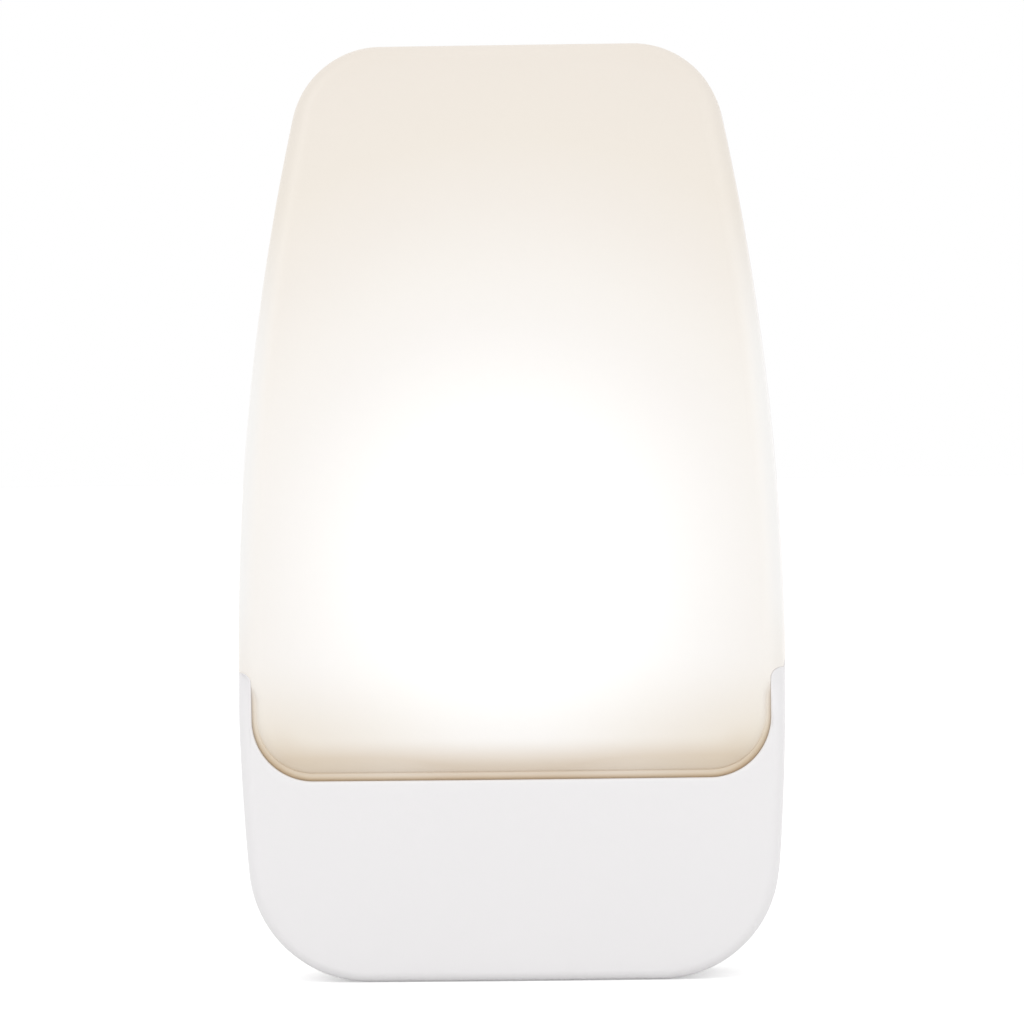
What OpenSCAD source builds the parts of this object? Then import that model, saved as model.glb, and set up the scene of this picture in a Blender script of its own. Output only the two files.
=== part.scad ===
// Plug-in night light: a lit diffuser over a white base, on a two-blade wall plug.
// Millimetres. The origin is the plug centre on the face that meets the wall,
// +X is the viewer's right, +Y points into the wall and +Z is up.

/* [Body] */
// Overall height
body_h = 104; // [100:0.5:108]
// Width at the widest point
body_w = 60.5; // [59:0.5:64]
// Depth from the wall to the proudest point of the front
body_d = 31; // [30:0.5:34]
// Plug centre above the bottom edge
plug_up = 20; // [19.5:0.5:21]
// Radius of the long side curves
side_r = 300; // [280:1:400]
// Height of the widest point above the plug centre
wide_z = 14.5; // [12:0.5:18]
// Corner radius at the top
top_r = 10; // [8:0.1:11]
// Corner radius at the bottom
low_r = 13.2; // [12:0.1:13.5]
// Radius of the front from top to bottom
crown_z_r = 230; // [220:5:400]
// Radius of the front from side to side
crown_x_r = 380; // [350:5:800]
// Height at which the front stands proudest
crown_z = 20; // [16:1:24]

/* [Front cover] */
// Wall thickness of the cover
cover_wall = 1.5; // [1.4:0.1:1.6]
// Round along the front edge of the cover
cover_edge_r = 1.4; // [1.2:0.1:1.6]
// Height of the bottom of the notch
notch_z = 2.5; // [2:0.1:3]
// Corner radius of the notch
notch_r = 6.8; // [6:0.1:7]
// Bevel along the front edge of the notch
notch_bevel = 0.3; // [0.2:0.1:0.4]
// Round on the inner side of each prong's tip
tip_r = 1.2; // [1:0.1:1.3]
// Height of the tips of the two side prongs
tip_z = 14.6; // [14:0.1:15]

/* [Diffuser] */
// Wall thickness of the diffuser
lens_wall = 1.6; // [1.4:0.1:1.8]
// Round along the sides of the diffuser
lens_side_r = 2.6; // [2.4:0.1:3]
// Round along the top of the diffuser
lens_top_r = 1.8; // [1.7:0.1:2.4]
// Round along the bottom of the diffuser
lens_low_r = 2.6; // [2.2:0.1:2.8]
// Gap between the diffuser and the cover
seam = 0.1; // [0.1:0.05:0.2]
// Width of the ledge along the foot of the dome, inside the notch
ledge_w = 0.85; // [0.6:0.05:1]
// Width of that ledge beside the prongs
ledge_side_w = 0.45; // [0.3:0.05:0.6]
// Depth of the ledge below the front
ledge_drop = 0.6; // [0.4:0.1:0.8]

/* [Rear housing] */
// Thickness of its walls and floor
rear_wall = 2.0; // [1.8:0.1:2.2]
// Gap between the wall and the back of the upper part
wall_gap = 7; // [6.5:0.5:7]
// Depth of the seam between front and rear, from the wall
seam_d = 12; // [12:0.5:12.5]
// Round along the back edge
rear_edge_r = 2.5; // [2:0.1:3]
// Width of the block that meets the wall
tub_w = 48; // [47:0.5:48.5]
// Bottom of that block
tub_low_z = -15.5; // [-15.6:0.1:-15]
// Top of that block
tub_top_z = 17; // [16:0.5:18]

/* [Plug] */
// Distance between the blades
blade_pitch = 12.7; // [12.7]
// Length of the blades outside the housing
blade_l = 16.5; // [15.9:0.1:18.2]
// Thickness of a blade
blade_t = 1.52; // [1.4:0.01:1.65]
// Width of the line blade
line_w = 6.35; // [6.1:0.01:6.5]
// Width of the neutral blade
neutral_w = 7.92; // [7.8:0.01:8.1]
// Hole in each blade
blade_hole_d = 3.2; // [3:0.1:3.6]
// Distance from the wall face to that hole
blade_hole_y = 11.7; // [11.5:0.1:12]

/* [Light and sensor] */
// Height of the row of light-emitting diodes
led_z = 25.2; // [22:0.1:28]
// Number of light-emitting diodes
led_count = 3; // [2:1:4]
// Distance between them
led_pitch = 7; // [6:0.5:8]
// Diameter of the sensor window in the underside
window_d = 6; // [5:0.5:7]
// Distance of the sensor window from the wall
window_y = 20; // [19:0.5:21]

/* [Hidden] */
$fn = 48;

// Steps of a corner round, of a long side, of a small round, and strips across a cap
corner_steps = 8;
side_steps = 9;
round_steps = 4;
strips = 6;

// Driving heights and depths worked out from the sizes above
low_z = -plug_up;
top_z = body_h - plug_up;
half_w = body_w / 2;
rim_w = 3;
lip_h = 1.4;
lip_gap = 0.1;
back_d = wall_gap;
floor_d = back_d + rear_wall;

// Cover and diffuser meet along these lines
notch_half_w = half_w - cover_wall;
tip_x = notch_half_w + tip_r;
lens_low_z = notch_z + seam;
lens_corner_r = notch_r - seam;
lens_rim_d = 14.6;
lens_rim_z = 9.5;

// Circuit board and reflector, as distances from the wall
board_back_d = 10.6;
board_t = 1.6;
board_front_d = board_back_d + board_t;
reflector_back_d = 13.4;
reflector_t = 1;
reflector_inset = 3.8;
lead_d = 0.6;
lead_hole_d = 1;
lead_end_d = board_back_d - 1;

// Places of the fixings, as [x, z]
column_at = [17.5, -8];
column_d = 9.2;
board_screw_at = [16, 33];
board_peg_at = [9, -11.5];
reflector_posts = [[23.5, 20], [21, 48], [16.5, 72]];
retainer_screw_z = 6;
hook_x = 9;
hook_w = 6;

// Places of the electronic parts on the board, as [x, z]
film_at = [-5.7, -0.45];
film_size = [13, 5.5, 11.5];
electrolytic_at = [6.2, -2.1];
electrolytic_d = 8;
electrolytic_l = 11.5;
rectifier_at = [-9.5, -7.2];
fusible_at = [6.6, -8.9];
bleeder_at = [-3, -6.2];
zener_at = [15, 0.4];
transistor_at = [-4.2, -11.2];
transistor_pitch = 1.27;
photocell_lead_x = 1.3;
photocell_lead_z = -12.5;
wire_at = [12, 12.5];
wire_d = 1.7;
chip_places = [[-12, 20], [0, 18], [12, 20], [-6, 31]];

// ---------- Outline of the body ----------

// Half the body's width at height z
function half_w_at(z) = half_w - side_r + sqrt(side_r * side_r - (z - wide_z) * (z - wide_z));

// Direction of the side's normal at height z
function side_angle(z) = asin((z - wide_z) / side_r);

// An arc as points [x, z, outward x, outward z, edge round, share of the ledge, distance
// in from the body's side]
function arc(x, z, r, from, to, steps, edge_r, first = 0) = [
    for (i = [first:steps])
        let (a = from + (to - from) * i / steps)
            [x + r * cos(a), z + r * sin(a), cos(a), sin(a), edge_r, 0, 0]
];

// The right-hand side, from the bottom edge to the top edge, of an outline with bowed
// sides of radius bow_r that are widest at bow_z, and rounded corners
function bowed_side(w, bow_r, bow_z, z0, r0, z1, r1, edge_r) =
    let (
        cx = w / 2 - bow_r,
        a0 = asin((z0 + r0 - bow_z) / (bow_r - r0)),
        a1 = asin((z1 - r1 - bow_z) / (bow_r - r1))
    )
    concat(
        arc(cx + (bow_r - r0) * cos(a0), z0 + r0, r0, -90, a0, corner_steps, edge_r),
        arc(cx, bow_z, bow_r, a0, a1, side_steps, edge_r, 1),
        arc(cx + (bow_r - r1) * cos(a1), z1 - r1, r1, a1, 90, corner_steps, edge_r, 1)
    );

// The point k strips across from p towards its mirror image
function across(p, k) =
    let (t = 1 - 2 * k / strips)
    [p[0] * t, p[1], p[2] * t, p[3], p[4], p[5], p[6]];

// A whole ring from its right-hand side: up the right, along the top, down the left
// and along the bottom
function ring_of(side) =
    let (n = len(side) - 1, high = side[n], low = side[0])
    concat(
        side,
        [for (k = [1:strips - 1]) across(high, k)],
        [for (i = [n:-1:0]) across(side[i], strips)],
        [for (k = [strips - 1:-1:1]) across(low, k)]
    );

body_side = bowed_side(body_w, side_r, wide_z, low_z, low_r, top_z, top_r, cover_edge_r);
body_ring = ring_of(body_side);
tub_ring = ring_of(bowed_side(tub_w, 1500, 0, tub_low_z, 9, tub_top_z, 5, 1));

function eased(t) = let (u = min(max(t, 0), 1)) u * u * (3 - 2 * u);

shoulder_z = tip_z - tip_r;
notch_top_z = notch_z + notch_r;

// The cover's edge round grows up each prong until it matches the diffuser's above.
// The cover's loft stops a little above the tips of its prongs.
cover_side = concat(
    [for (p = body_side) if (p[1] < notch_top_z - 1) p],
    [for (z = [notch_top_z, notch_top_z + 1.3, notch_top_z + 2.7, shoulder_z, tip_z + 2])
        let (t = eased((z - notch_top_z) / (shoulder_z - notch_top_z)))
            [
                half_w_at(z), z, cos(side_angle(z)), sin(side_angle(z)),
                cover_edge_r + (lens_side_r - cover_edge_r) * t, 0, 0
            ]]
);
cover_ring = ring_of(cover_side);

// The diffuser is set in behind the prongs, steps out over their tips in an S curve
// and runs flush with the cover above them. A ledge runs round its foot.
lens_low_x = notch_half_w - seam - lens_corner_r;
lens_upright_z = lens_low_z + lens_corner_r;
flush_r = half_w - tip_x;
flush_z = tip_z + seam + flush_r;
flush_a = side_angle(flush_z);
lens_top_z = top_z - top_r;
lens_top_a = asin((lens_top_z - wide_z) / (side_r - top_r));
lens_top_x = half_w - side_r + (side_r - top_r) * cos(lens_top_a);

// The edge round beside the prongs: its inner end stays on the line it has above them
low_start_r = lens_side_r - (half_w_at(lens_upright_z) - notch_half_w + seam);

// The same points with what belongs to them round the bottom, up the prongs and over
// their tips, and above
function low_points(points) = [
    for (p = points)
        [p[0], p[1], p[2], p[3], low_start_r + (lens_low_r - low_start_r) * max(-p[3], 0), 1, 0]
];
function step_points(points) = [
    for (p = points)
        [
            p[0], p[1], 1, 0, lens_side_r, eased((shoulder_z - p[1]) / 2.2),
            max(half_w_at(p[1]) - p[0], 0)
        ]
];
function high_points(points) = [
    for (p = points)
        [p[0], p[1], p[2], p[3], lens_side_r + (lens_top_r - lens_side_r) * max(p[3], 0), 0, 0]
];

lens_side = concat(
    low_points(
        arc(lens_low_x, lens_upright_z, lens_corner_r, -90, 0, corner_steps, 0)
    ),
    step_points(
        concat(
            [for (share = [0.25, 0.5, 0.75])
                [
                    notch_half_w - seam,
                    lens_upright_z + (shoulder_z - lens_upright_z) * share
                ]],
            arc(tip_x, shoulder_z, tip_r + seam, 180, 90, round_steps, 0),
            arc(tip_x, flush_z, flush_r, -90, 0, round_steps, 0, 1)
        )
    ),
    high_points(
        concat(
            arc(half_w - side_r, wide_z, side_r, flush_a, lens_top_a, side_steps, 0, 1),
            arc(lens_top_x, lens_top_z, top_r, lens_top_a, 90, corner_steps, 0, 1)
        )
    )
);
lens_ring = ring_of(lens_side);

// ---------- Front surface ----------

// Distance from the wall to the front, which is crowned both ways
function front_d(x, z) =
    body_d
    - (crown_z_r - sqrt(crown_z_r * crown_z_r - (z - crown_z) * (z - crown_z)))
    - (crown_x_r - sqrt(crown_x_r * crown_x_r - x * x));

// A ring's point moved in by inset
function inset_point(p, inset) = [p[0] - inset * p[2], p[1] - inset * p[3]];

// How steeply the front falls away towards a point of the edge
function edge_tilt(p) =
    let (a = inset_point(p, 1), b = inset_point(p, 0))
    atan(front_d(a[0], a[1]) - front_d(b[0], b[1]));

// Width of the whole ledge, and of what a ring's point has of it
function full_ledge(p) = ledge_side_w + (ledge_w - ledge_side_w) * max(-p[3], 0);
function ledge_at(p) = p[5] * full_ledge(p);

// A point on a round of radius r that starts base in from p and meets a front that lies
// wall behind the outer one
function round_point(p, wall, part, r, base, start) =
    let (
        tilt = edge_tilt(p),
        turn = start + part * (90 - tilt - start),
        foot = inset_point(p, base + r * (1 - sin(tilt))),
        q = inset_point(p, base + r * (1 - cos(turn)))
    )
    [q[0], wall - front_d(foot[0], foot[1]) + r * (cos(tilt) - sin(turn)), q[1]];

// The outer edge round where it runs flush with the body's side
function flush_point(p, part) =
    round_point(p, 0, part, p[4], -p[6], acos(1 - p[6] / p[4]));

// The outer edge round where it rises from the ledge
function stepped_point(p, part) =
    let (
        r = p[4] - p[6],
        start = asin(max(cos(edge_tilt(p)) - ledge_drop / r, 0))
    )
    round_point(p, 0, part, r, full_ledge(p) - r * (1 - cos(start)), start);

// The edge round of the outer front, or of one that lies wall behind it. part runs from
// 0, where the round leaves the side or the ledge, to 1, where it meets the front.
function edge_point(p, wall, part) =
    wall > 0 ?
        round_point(p, wall, part, max(p[4] - p[6] - wall, 0.4), wall + 0.4 * ledge_at(p), 0)
    : (1 - p[5]) * flush_point(p, part) + p[5] * stepped_point(p, part);

function edge_rings(ring, wall) = [
    for (j = [0:round_steps]) [for (p = ring) edge_point(p, wall, j / round_steps)]
];

// The top of the side wall, just behind the edge round or the bead of the ledge
function wall_top_ring(ring) = [
    for (p = ring)
        [p[0], edge_point(p, 0, 0)[1] + 0.25 + 0.25 * (1 - p[5]), p[1]]
];

// The inner edge of that bead
function bead_ring(ring) = [
    for (p = ring)
        let (q = inset_point(p, 0.4 * ledge_at(p)))
            [q[0], edge_point(p, 0, 0)[1] + 0.2 * (1 - p[5]), q[1]]
];

// The inner points of a crowned cap, row by row, between the two sides of its ring
function crowned_cap(points, rows, wall) = [
    for (i = [1:rows - 1], k = [1:strips - 1])
        let (x = points[i][0] * (1 - 2 * k / strips), z = points[i][2])
            [x, wall - front_d(x, z), z]
];

// A ring at one depth, and the inner points of its flat cap
function level_ring(ring, inset, depth) = [
    for (p = ring) let (q = inset_point(p, inset)) [q[0], -depth, q[1]]
];

function flat_cap(points, rows) = [
    for (i = [1:rows - 1], k = [1:strips - 1])
        [points[i][0] * (1 - 2 * k / strips), points[i][1], points[i][2]]
];

// Rings round a quarter turn from inset and depth to the back face
function back_rings(ring, inset, r, depth) = [
    for (j = [0:round_steps])
        let (a = 90 * j / round_steps)
            level_ring(ring, inset + r * (1 - cos(a)), depth + r * (1 - sin(a)))
];

// ---------- Loft through rings ----------

// Index of row i, strip k of a cap on a ring that starts at first, with its inner
// points from inner on
function cap_index(i, k, rows, first, inner) =
    k == 0 ? first + i
    : k == strips ? first + 2 * rows + strips - i
    : i == rows ? first + rows + k
    : i == 0 ? first + 2 * rows + 2 * strips - k
    : inner + (i - 1) * (strips - 1) + k - 1;

function cap_faces(rows, first, inner, front) = [
    for (i = [0:rows - 1], k = [0:strips - 1])
        let (
            a = cap_index(i, k, rows, first, inner),
            b = cap_index(i, k + 1, rows, first, inner),
            c = cap_index(i + 1, k + 1, rows, first, inner),
            d = cap_index(i + 1, k, rows, first, inner)
        )
        each (front ? [[a, b, c], [a, c, d]] : [[a, c, b], [a, d, c]])
];

// A closed solid through rings of equal length, from a cap that faces back to a cap
// that faces forward
module loft(rings, rows, first_cap, last_cap) {
    size = len(rings[0]);
    count = len(rings);
    points = concat([for (r = rings) each r], first_cap, last_cap);
    walls = [
        for (j = [0:count - 2], i = [0:size - 1])
            let (a = j * size + i, b = j * size + (i + 1) % size)
                each [[a, a + size, b + size], [a, b + size, b]]
    ];
    faces = concat(
        cap_faces(rows, 0, count * size, false),
        walls,
        cap_faces(rows, (count - 1) * size, count * size + len(first_cap), true)
    );
    polyhedron(points = points, faces = faces, convexity = 6);
}

// A front shell, open at the back, with its rim at rim_d from the wall
module front_shell(ring, rows, wall, rim_d) {
    inner = edge_rings(ring, wall);
    outer = edge_rings(ring, 0);
    rings = concat(
        [for (j = [round_steps:-1:0]) inner[j]],
        [level_ring(ring, wall, rim_d), level_ring(ring, 0, rim_d)],
        [wall_top_ring(ring), bead_ring(ring)],
        outer
    );
    loft(
        rings, rows,
        crowned_cap(inner[round_steps], rows, wall),
        crowned_cap(outer[round_steps], rows, 0)
    );
}

// ---------- Small shapes ----------

// Extrudes an outline in x and z forward from the wall side, depth d0 to d1
module slab(d0, d1) {
    translate([0, -d0, 0])
        rotate([90, 0, 0])
            linear_extrude(d1 - d0)
                children();
}

// A round bar along Y at [x, z]
module bar(at, d, d0, d1) {
    slab(d0, d1)
        translate(at)
            circle(d = d);
}

module mirrored() {
    children();
    mirror([1, 0, 0])
        children();
}

module round_rect(w, h, r) {
    square([w - 2 * r, h], center = true);
    square([w, h - 2 * r], center = true);
    for (x = [-1, 1], z = [-1, 1])
        translate([x * (w / 2 - r), z * (h / 2 - r)])
            circle(r = r);
}

// The outline of a ring, moved in by inset
module ring_outline(ring, inset) {
    polygon([for (p = ring) inset_point(p, inset)]);
}

// A pan-head screw whose head meets its seat at seat_d and points away from the wall
// for side 1 and at the wall for side -1
module screw(at, seat_d, head_d, head_h, shank_d, shank_l, side) {
    translate([at[0], -seat_d, at[1]])
        rotate([side > 0 ? 90 : -90, 0, 0])
            difference() {
                rotate_extrude()
                    polygon([
                        [0, -shank_l],
                        [shank_d / 2 - 0.3, -shank_l],
                        [shank_d / 2, 0.8 - shank_l],
                        [shank_d / 2, 0],
                        [head_d / 2, 0],
                        [head_d / 2, head_h * 0.55],
                        [head_d / 2 - head_h * 0.45, head_h],
                        [0, head_h]
                    ]);
                for (a = [0, 90])
                    rotate(a)
                        translate([-head_d * 0.3, -0.35, head_h * 0.4])
                            cube([head_d * 0.6, 0.7, head_h]);
            }
}

// A straight lead through the board at [x, z], from front_d in front of it
module lead(at, from_d) {
    bar(at, lead_d, lead_end_d, from_d);
}

// The bent leads of a part that lies along X, at height_d from the wall
module bent_leads(at, span, height_d) {
    for (x = [-span / 2, span / 2]) {
        lead([at[0] + x, at[1]], height_d);
        translate([at[0] + x, -height_d, at[1]])
            sphere(d = lead_d, $fn = 24);
    }
    translate([at[0] - span / 2, -height_d, at[1]])
        rotate([0, 90, 0])
            cylinder(d = lead_d, h = span);
}

function axial_d(d) = board_front_d + d / 2 + 0.4;

module axial_body(at, l, d, end_d) {
    translate([at[0], -axial_d(end_d), at[1]])
        rotate([0, 90, 0])
            rotate_extrude()
                polygon([
                    [0, -l / 2], [end_d / 2 - 0.3, -l / 2], [end_d / 2, -l / 2 + 0.3],
                    [end_d / 2, -l / 2 + 1.2], [d / 2, -l / 2 + 1.6], [d / 2, l / 2 - 1.6],
                    [end_d / 2, l / 2 - 1.2], [end_d / 2, l / 2 - 0.3],
                    [end_d / 2 - 0.3, l / 2], [0, l / 2]
                ]);
}

function unit(v) = v / norm(v);

// A round wire swept along a route of points
module wire(route, d, sides = 8) {
    n = len(route);
    rings = [
        for (i = [0:n - 1])
            let (
                along = unit(route[min(i + 1, n - 1)] - route[max(i - 1, 0)]),
                u = unit(cross(along, [1, 0, 0])),
                v = cross(along, u)
            )
            [for (k = [0:sides - 1])
                route[i] + d / 2 * (u * cos(360 * k / sides) + v * sin(360 * k / sides))]
    ];
    walls = [
        for (j = [0:n - 2], i = [0:sides - 1])
            let (a = j * sides + i, b = j * sides + (i + 1) % sides)
                each [[a, a + sides, b + sides], [a, b + sides, b]]
    ];
    ends = [
        [for (i = [0:sides - 1]) i],
        [for (i = [sides - 1:-1:0]) (n - 1) * sides + i]
    ];
    polyhedron(points = [for (r = rings) each r], faces = concat(walls, ends), convexity = 4);
}

// ---------- Casing ----------

// The cover's outer outline, with rounded tips on its prongs
module cover_face() {
    translate([-half_w - 1, low_z - 1])
        square([body_w + 2, shoulder_z - low_z + 1]);
    for (x = [-tip_x, tip_x])
        translate([x, shoulder_z])
            circle(r = tip_r);
}

// What the notch takes out of the cover, flared in front to bevel the notch's edge
module notch_cutter() {
    above = 1;
    side = concat(
        arc(notch_half_w - notch_r, notch_z + notch_r, notch_r, -90, 0, corner_steps, 0),
        [for (z = [shoulder_z, tip_z + 4]) [notch_half_w, z, 1, 0, 0, 0, 0]]
    );
    ring = ring_of(side);
    rows = len(side) - 1;
    bevel_start = [for (p = ring) [p[0], notch_bevel - front_d(p[0], p[1]), p[1]]];
    flared = [
        for (p = ring)
            let (q = inset_point(p, -notch_bevel - above))
                [q[0], -above - front_d(p[0], p[1]), q[1]]
    ];
    rings = [level_ring(ring, 0, seam_d - 1), bevel_start, flared];
    loft(rings, rows, flat_cap(rings[0], rows), crowned_cap(flared, rows, -above));
}

module front_cover() {
    boss_front_d = front_d(column_at[0], column_at[1]) - cover_wall / 2;
    color("white")
        difference() {
            union() {
                difference() {
                    intersection() {
                        front_shell(cover_ring, len(cover_side) - 1, cover_wall, seam_d);
                        slab(seam_d - 1, body_d + 1)
                            cover_face();
                    }
                    notch_cutter();
                }
                mirrored()
                    bar(column_at, 7, seam_d, boss_front_d);
            }
            mirrored()
                bar(column_at, 2.5, seam_d - 1, seam_d + 11);
            translate([0, -window_y, low_z - 1])
                cylinder(d = window_d + 0.2, h = cover_wall + 2);
        }
}

// A snap hook under the diffuser's top wall, as an outline in depth and height
module top_hook() {
    root_z = top_z - lens_wall + 0.5;
    leg_z = top_z - rim_w - 0.2;
    translate([hook_x + hook_w / 2, 0, 0])
        rotate([90, 0, -90])
            linear_extrude(hook_w)
                polygon([
                    [17, root_z], [15.4, root_z], [15.4, leg_z], [11.2, leg_z],
                    [10.7, leg_z + 0.8], [10.2, leg_z + 0.8], [9.6, leg_z - 0.2],
                    [9.6, leg_z - 1.2], [17, leg_z - 1.2]
                ]);
}

module diffuser() {
    tongue_half_w = 20;
    tongue_d = front_d(tongue_half_w, notch_z) - cover_wall - 0.3;
    color([1, 0.98, 0.94])
        union() {
            difference() {
                front_shell(lens_ring, len(lens_side) - 1, lens_wall, seam_d);
                translate([-half_w, -lens_rim_d, lens_low_z - 1])
                    cube([body_w, lens_rim_d - seam_d + 1, lens_rim_z - lens_low_z + 1]);
            }
            mirrored()
                top_hook();
            translate([-tongue_half_w, -tongue_d, notch_z - 2.6])
                cube([2 * tongue_half_w, 1.4, lens_low_z - notch_z + 3.4]);
        }
}

// Tray and block as one lofted body, from the face that meets the wall forward to the rim
module rear_block() {
    draft = 0.3;
    cove_r = 1;
    wall_face = back_rings(tub_ring, draft, 1, 0);
    cove = [
        for (j = [0:round_steps])
            let (a = 90 * j / round_steps)
                level_ring(tub_ring, -cove_r * (1 - cos(a)), back_d - cove_r * (1 - sin(a)))
    ];
    edge = back_rings(body_ring, 0, rear_edge_r, back_d);
    rings = concat(
        [for (j = [round_steps:-1:0]) wall_face[j]],
        cove,
        [for (j = [round_steps:-1:0]) edge[j]],
        [level_ring(body_ring, 0, seam_d)]
    );
    rows = len(body_side) - 1;
    loft(
        rings, rows,
        flat_cap(rings[0], rows),
        flat_cap(rings[len(rings) - 1], rows)
    );
}

// The block hollowed out, with the lip that the front parts fit over. The lip is left
// out beside the prongs.
module rear_shell() {
    difference() {
        union() {
            rear_block();
            slab(seam_d - 0.5, seam_d + lip_h)
                intersection() {
                    ring_outline(body_ring, lens_wall + lip_gap);
                    union() {
                        translate([-half_w, low_z])
                            square([body_w, notch_z - 2 - low_z]);
                        translate([-half_w, tip_z + 3])
                            square([body_w, top_z - tip_z]);
                    }
                }
        }
        slab(floor_d, seam_d + lip_h + 1)
            ring_outline(body_ring, rim_w);
        slab(rear_wall, floor_d + 1)
            ring_outline(tub_ring, rear_wall);
    }
}

module blade_slots(clearance) {
    translate([blade_pitch / 2, 0])
        square([blade_t, line_w] + [1, 1] * 2 * clearance, center = true);
    translate([-blade_pitch / 2, 0])
        square([blade_t, neutral_w] + [1, 1] * 2 * clearance, center = true);
}

module rear_housing() {
    color("white")
        difference() {
            union() {
                rear_shell();
                mirrored() {
                    bar(column_at, column_d, rear_wall - 0.5, seam_d);
                    bar(board_screw_at, 5, floor_d - 0.5, board_back_d);
                    bar(board_peg_at, 4, rear_wall - 0.5, board_back_d);
                    bar(board_peg_at, 1.8, board_back_d, board_front_d + 0.6);
                    for (at = reflector_posts) {
                        bar(at, 5, floor_d - 0.5, reflector_back_d);
                        bar(at, 2.4, reflector_back_d, reflector_back_d + reflector_t + 0.6);
                    }
                }
                for (z = [-retainer_screw_z, retainer_screw_z])
                    bar([0, z], 5, rear_wall - 0.5, 4.2);
            }
            slab(-1, rear_wall + 1)
                blade_slots(0.2);
            mirrored() {
                bar(column_at, 6.2, -1, 6);
                bar(column_at, 3.3, 5, seam_d + 1);
                bar(board_screw_at, 2, back_d + 0.8, board_back_d + 1);
                translate([hook_x - hook_w / 2 - 0.3, -11.5, top_z - rim_w - 0.5])
                    cube([hook_w + 0.6, 2.1, 1.5]);
            }
            for (z = [-retainer_screw_z, retainer_screw_z])
                bar([0, z], 1.9, 1, 5);
        }
}

// ---------- Light chamber ----------

module reflector() {
    window_w = led_pitch * (led_count - 1) + 6;
    color([0.98, 0.98, 0.97])
        difference() {
            slab(reflector_back_d, reflector_back_d + reflector_t)
                intersection() {
                    ring_outline(body_ring, reflector_inset);
                    translate([-half_w, lens_low_z + 0.3])
                        square([body_w, body_h]);
                }
            slab(reflector_back_d - 1, reflector_back_d + reflector_t + 1)
                translate([0, led_z])
                    round_rect(window_w, 6, 1.5);
            mirrored() {
                for (at = reflector_posts)
                    bar(at, 2.7, reflector_back_d - 1, reflector_back_d + reflector_t + 1);
                slab(reflector_back_d - 1, reflector_back_d + reflector_t + 1)
                    translate([hook_x - hook_w / 2 - 0.3, top_z - rim_w - 1.7])
                        square([hook_w + 0.6, 4]);
            }
        }
}

// ---------- Electronics ----------

module led_row() {
    for (i = [0:led_count - 1])
        translate([led_pitch * (i - (led_count - 1) / 2), -board_front_d, led_z])
            rotate([90, 0, 0])
                children();
}

module led_packages() {
    color("ivory")
        led_row()
            difference() {
                translate([-1.75, -1.4, 0])
                    cube([3.5, 2.8, 0.75]);
                translate([0, 0, 0.35])
                    cylinder(d1 = 1.9, d2 = 2.5, h = 0.41);
            }
}

module led_emitters() {
    color("gold")
        led_row()
            translate([0, 0, 0.35])
                cylinder(d = 1.9, h = 0.3);
}

module chip_resistors() {
    color("dimgray")
        for (at = chip_places)
            translate([at[0] - 1, -board_front_d - 0.55, at[1] - 0.6])
                cube([2, 0.55, 1.2]);
}

function axial_holes(at, span) = [[at[0] - span / 2, at[1]], [at[0] + span / 2, at[1]]];

film_span = 10;
electrolytic_span = 3.5;
fusible_span = 10;
bleeder_span = 5.6;
zener_span = 7.5;
lead_holes = concat(
    axial_holes(film_at, film_span),
    axial_holes(electrolytic_at, electrolytic_span),
    axial_holes(fusible_at, fusible_span),
    axial_holes(bleeder_at, bleeder_span),
    axial_holes(zener_at, zener_span),
    [for (i = [-1:1]) transistor_at + [i * transistor_pitch, 0]],
    axial_holes([0, photocell_lead_z], 2 * photocell_lead_x)
);

module circuit_board() {
    color("darkgreen")
        slab(board_back_d, board_front_d)
            difference() {
                union() {
                    translate([0, 17.5])
                        round_rect(40, 41, 1);
                    translate([0, -8])
                        round_rect(24.8, 12, 1);
                }
                for (at = lead_holes)
                    translate(at)
                        circle(d = lead_hole_d);
                for (x = [-1, 1]) {
                    translate([x * wire_at[0], wire_at[1]])
                        circle(d = wire_d + 0.2);
                    translate([x * board_screw_at[0], board_screw_at[1]])
                        circle(d = 2.8);
                    translate([x * board_peg_at[0], board_peg_at[1]])
                        circle(d = 2);
                }
            }
}

module film_capacitor() {
    base_d = board_front_d + 0.3;
    color("goldenrod") {
        slab(base_d, base_d + film_size[2])
            translate(film_at)
                round_rect(film_size[0], film_size[1], 0.6);
        for (at = axial_holes(film_at, film_span))
            lead(at, base_d);
    }
}

module electrolytic_capacitor() {
    base_d = board_front_d + 0.3;
    color("midnightblue") {
        translate([electrolytic_at[0], -base_d, electrolytic_at[1]])
            rotate([90, 0, 0])
                rotate_extrude()
                    polygon([
                        [0, 0], [electrolytic_d / 2 - 0.5, 0], [electrolytic_d / 2, 0.5],
                        [electrolytic_d / 2, 1.4], [electrolytic_d / 2 - 0.3, 1.8],
                        [electrolytic_d / 2, 2.2], [electrolytic_d / 2, electrolytic_l - 0.5],
                        [electrolytic_d / 2 - 0.5, electrolytic_l], [0, electrolytic_l]
                    ]);
        for (at = axial_holes(electrolytic_at, electrolytic_span))
            lead(at, base_d);
    }
}

module bridge_rectifier() {
    base_d = board_front_d + 0.2;
    color("black") {
        slab(base_d, base_d + 2.4)
            translate(rectifier_at)
                square([4.7, 3.8], center = true);
        for (x = [-1.27, 1.27], z = [-1, 1])
            slab(board_front_d, board_front_d + 0.9)
                translate(rectifier_at + [x, z * 2.3])
                    square([0.7, 1], center = true);
    }
}

module fusible_resistor() {
    color("seagreen") {
        axial_body(fusible_at, 6.5, 2.1, 2.5);
        bent_leads(fusible_at, fusible_span, axial_d(2.5));
    }
}

module bleeder_resistor() {
    color("tan") {
        axial_body(bleeder_at, 3.6, 1.5, 1.8);
        bent_leads(bleeder_at, bleeder_span, axial_d(1.8));
    }
}

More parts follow.
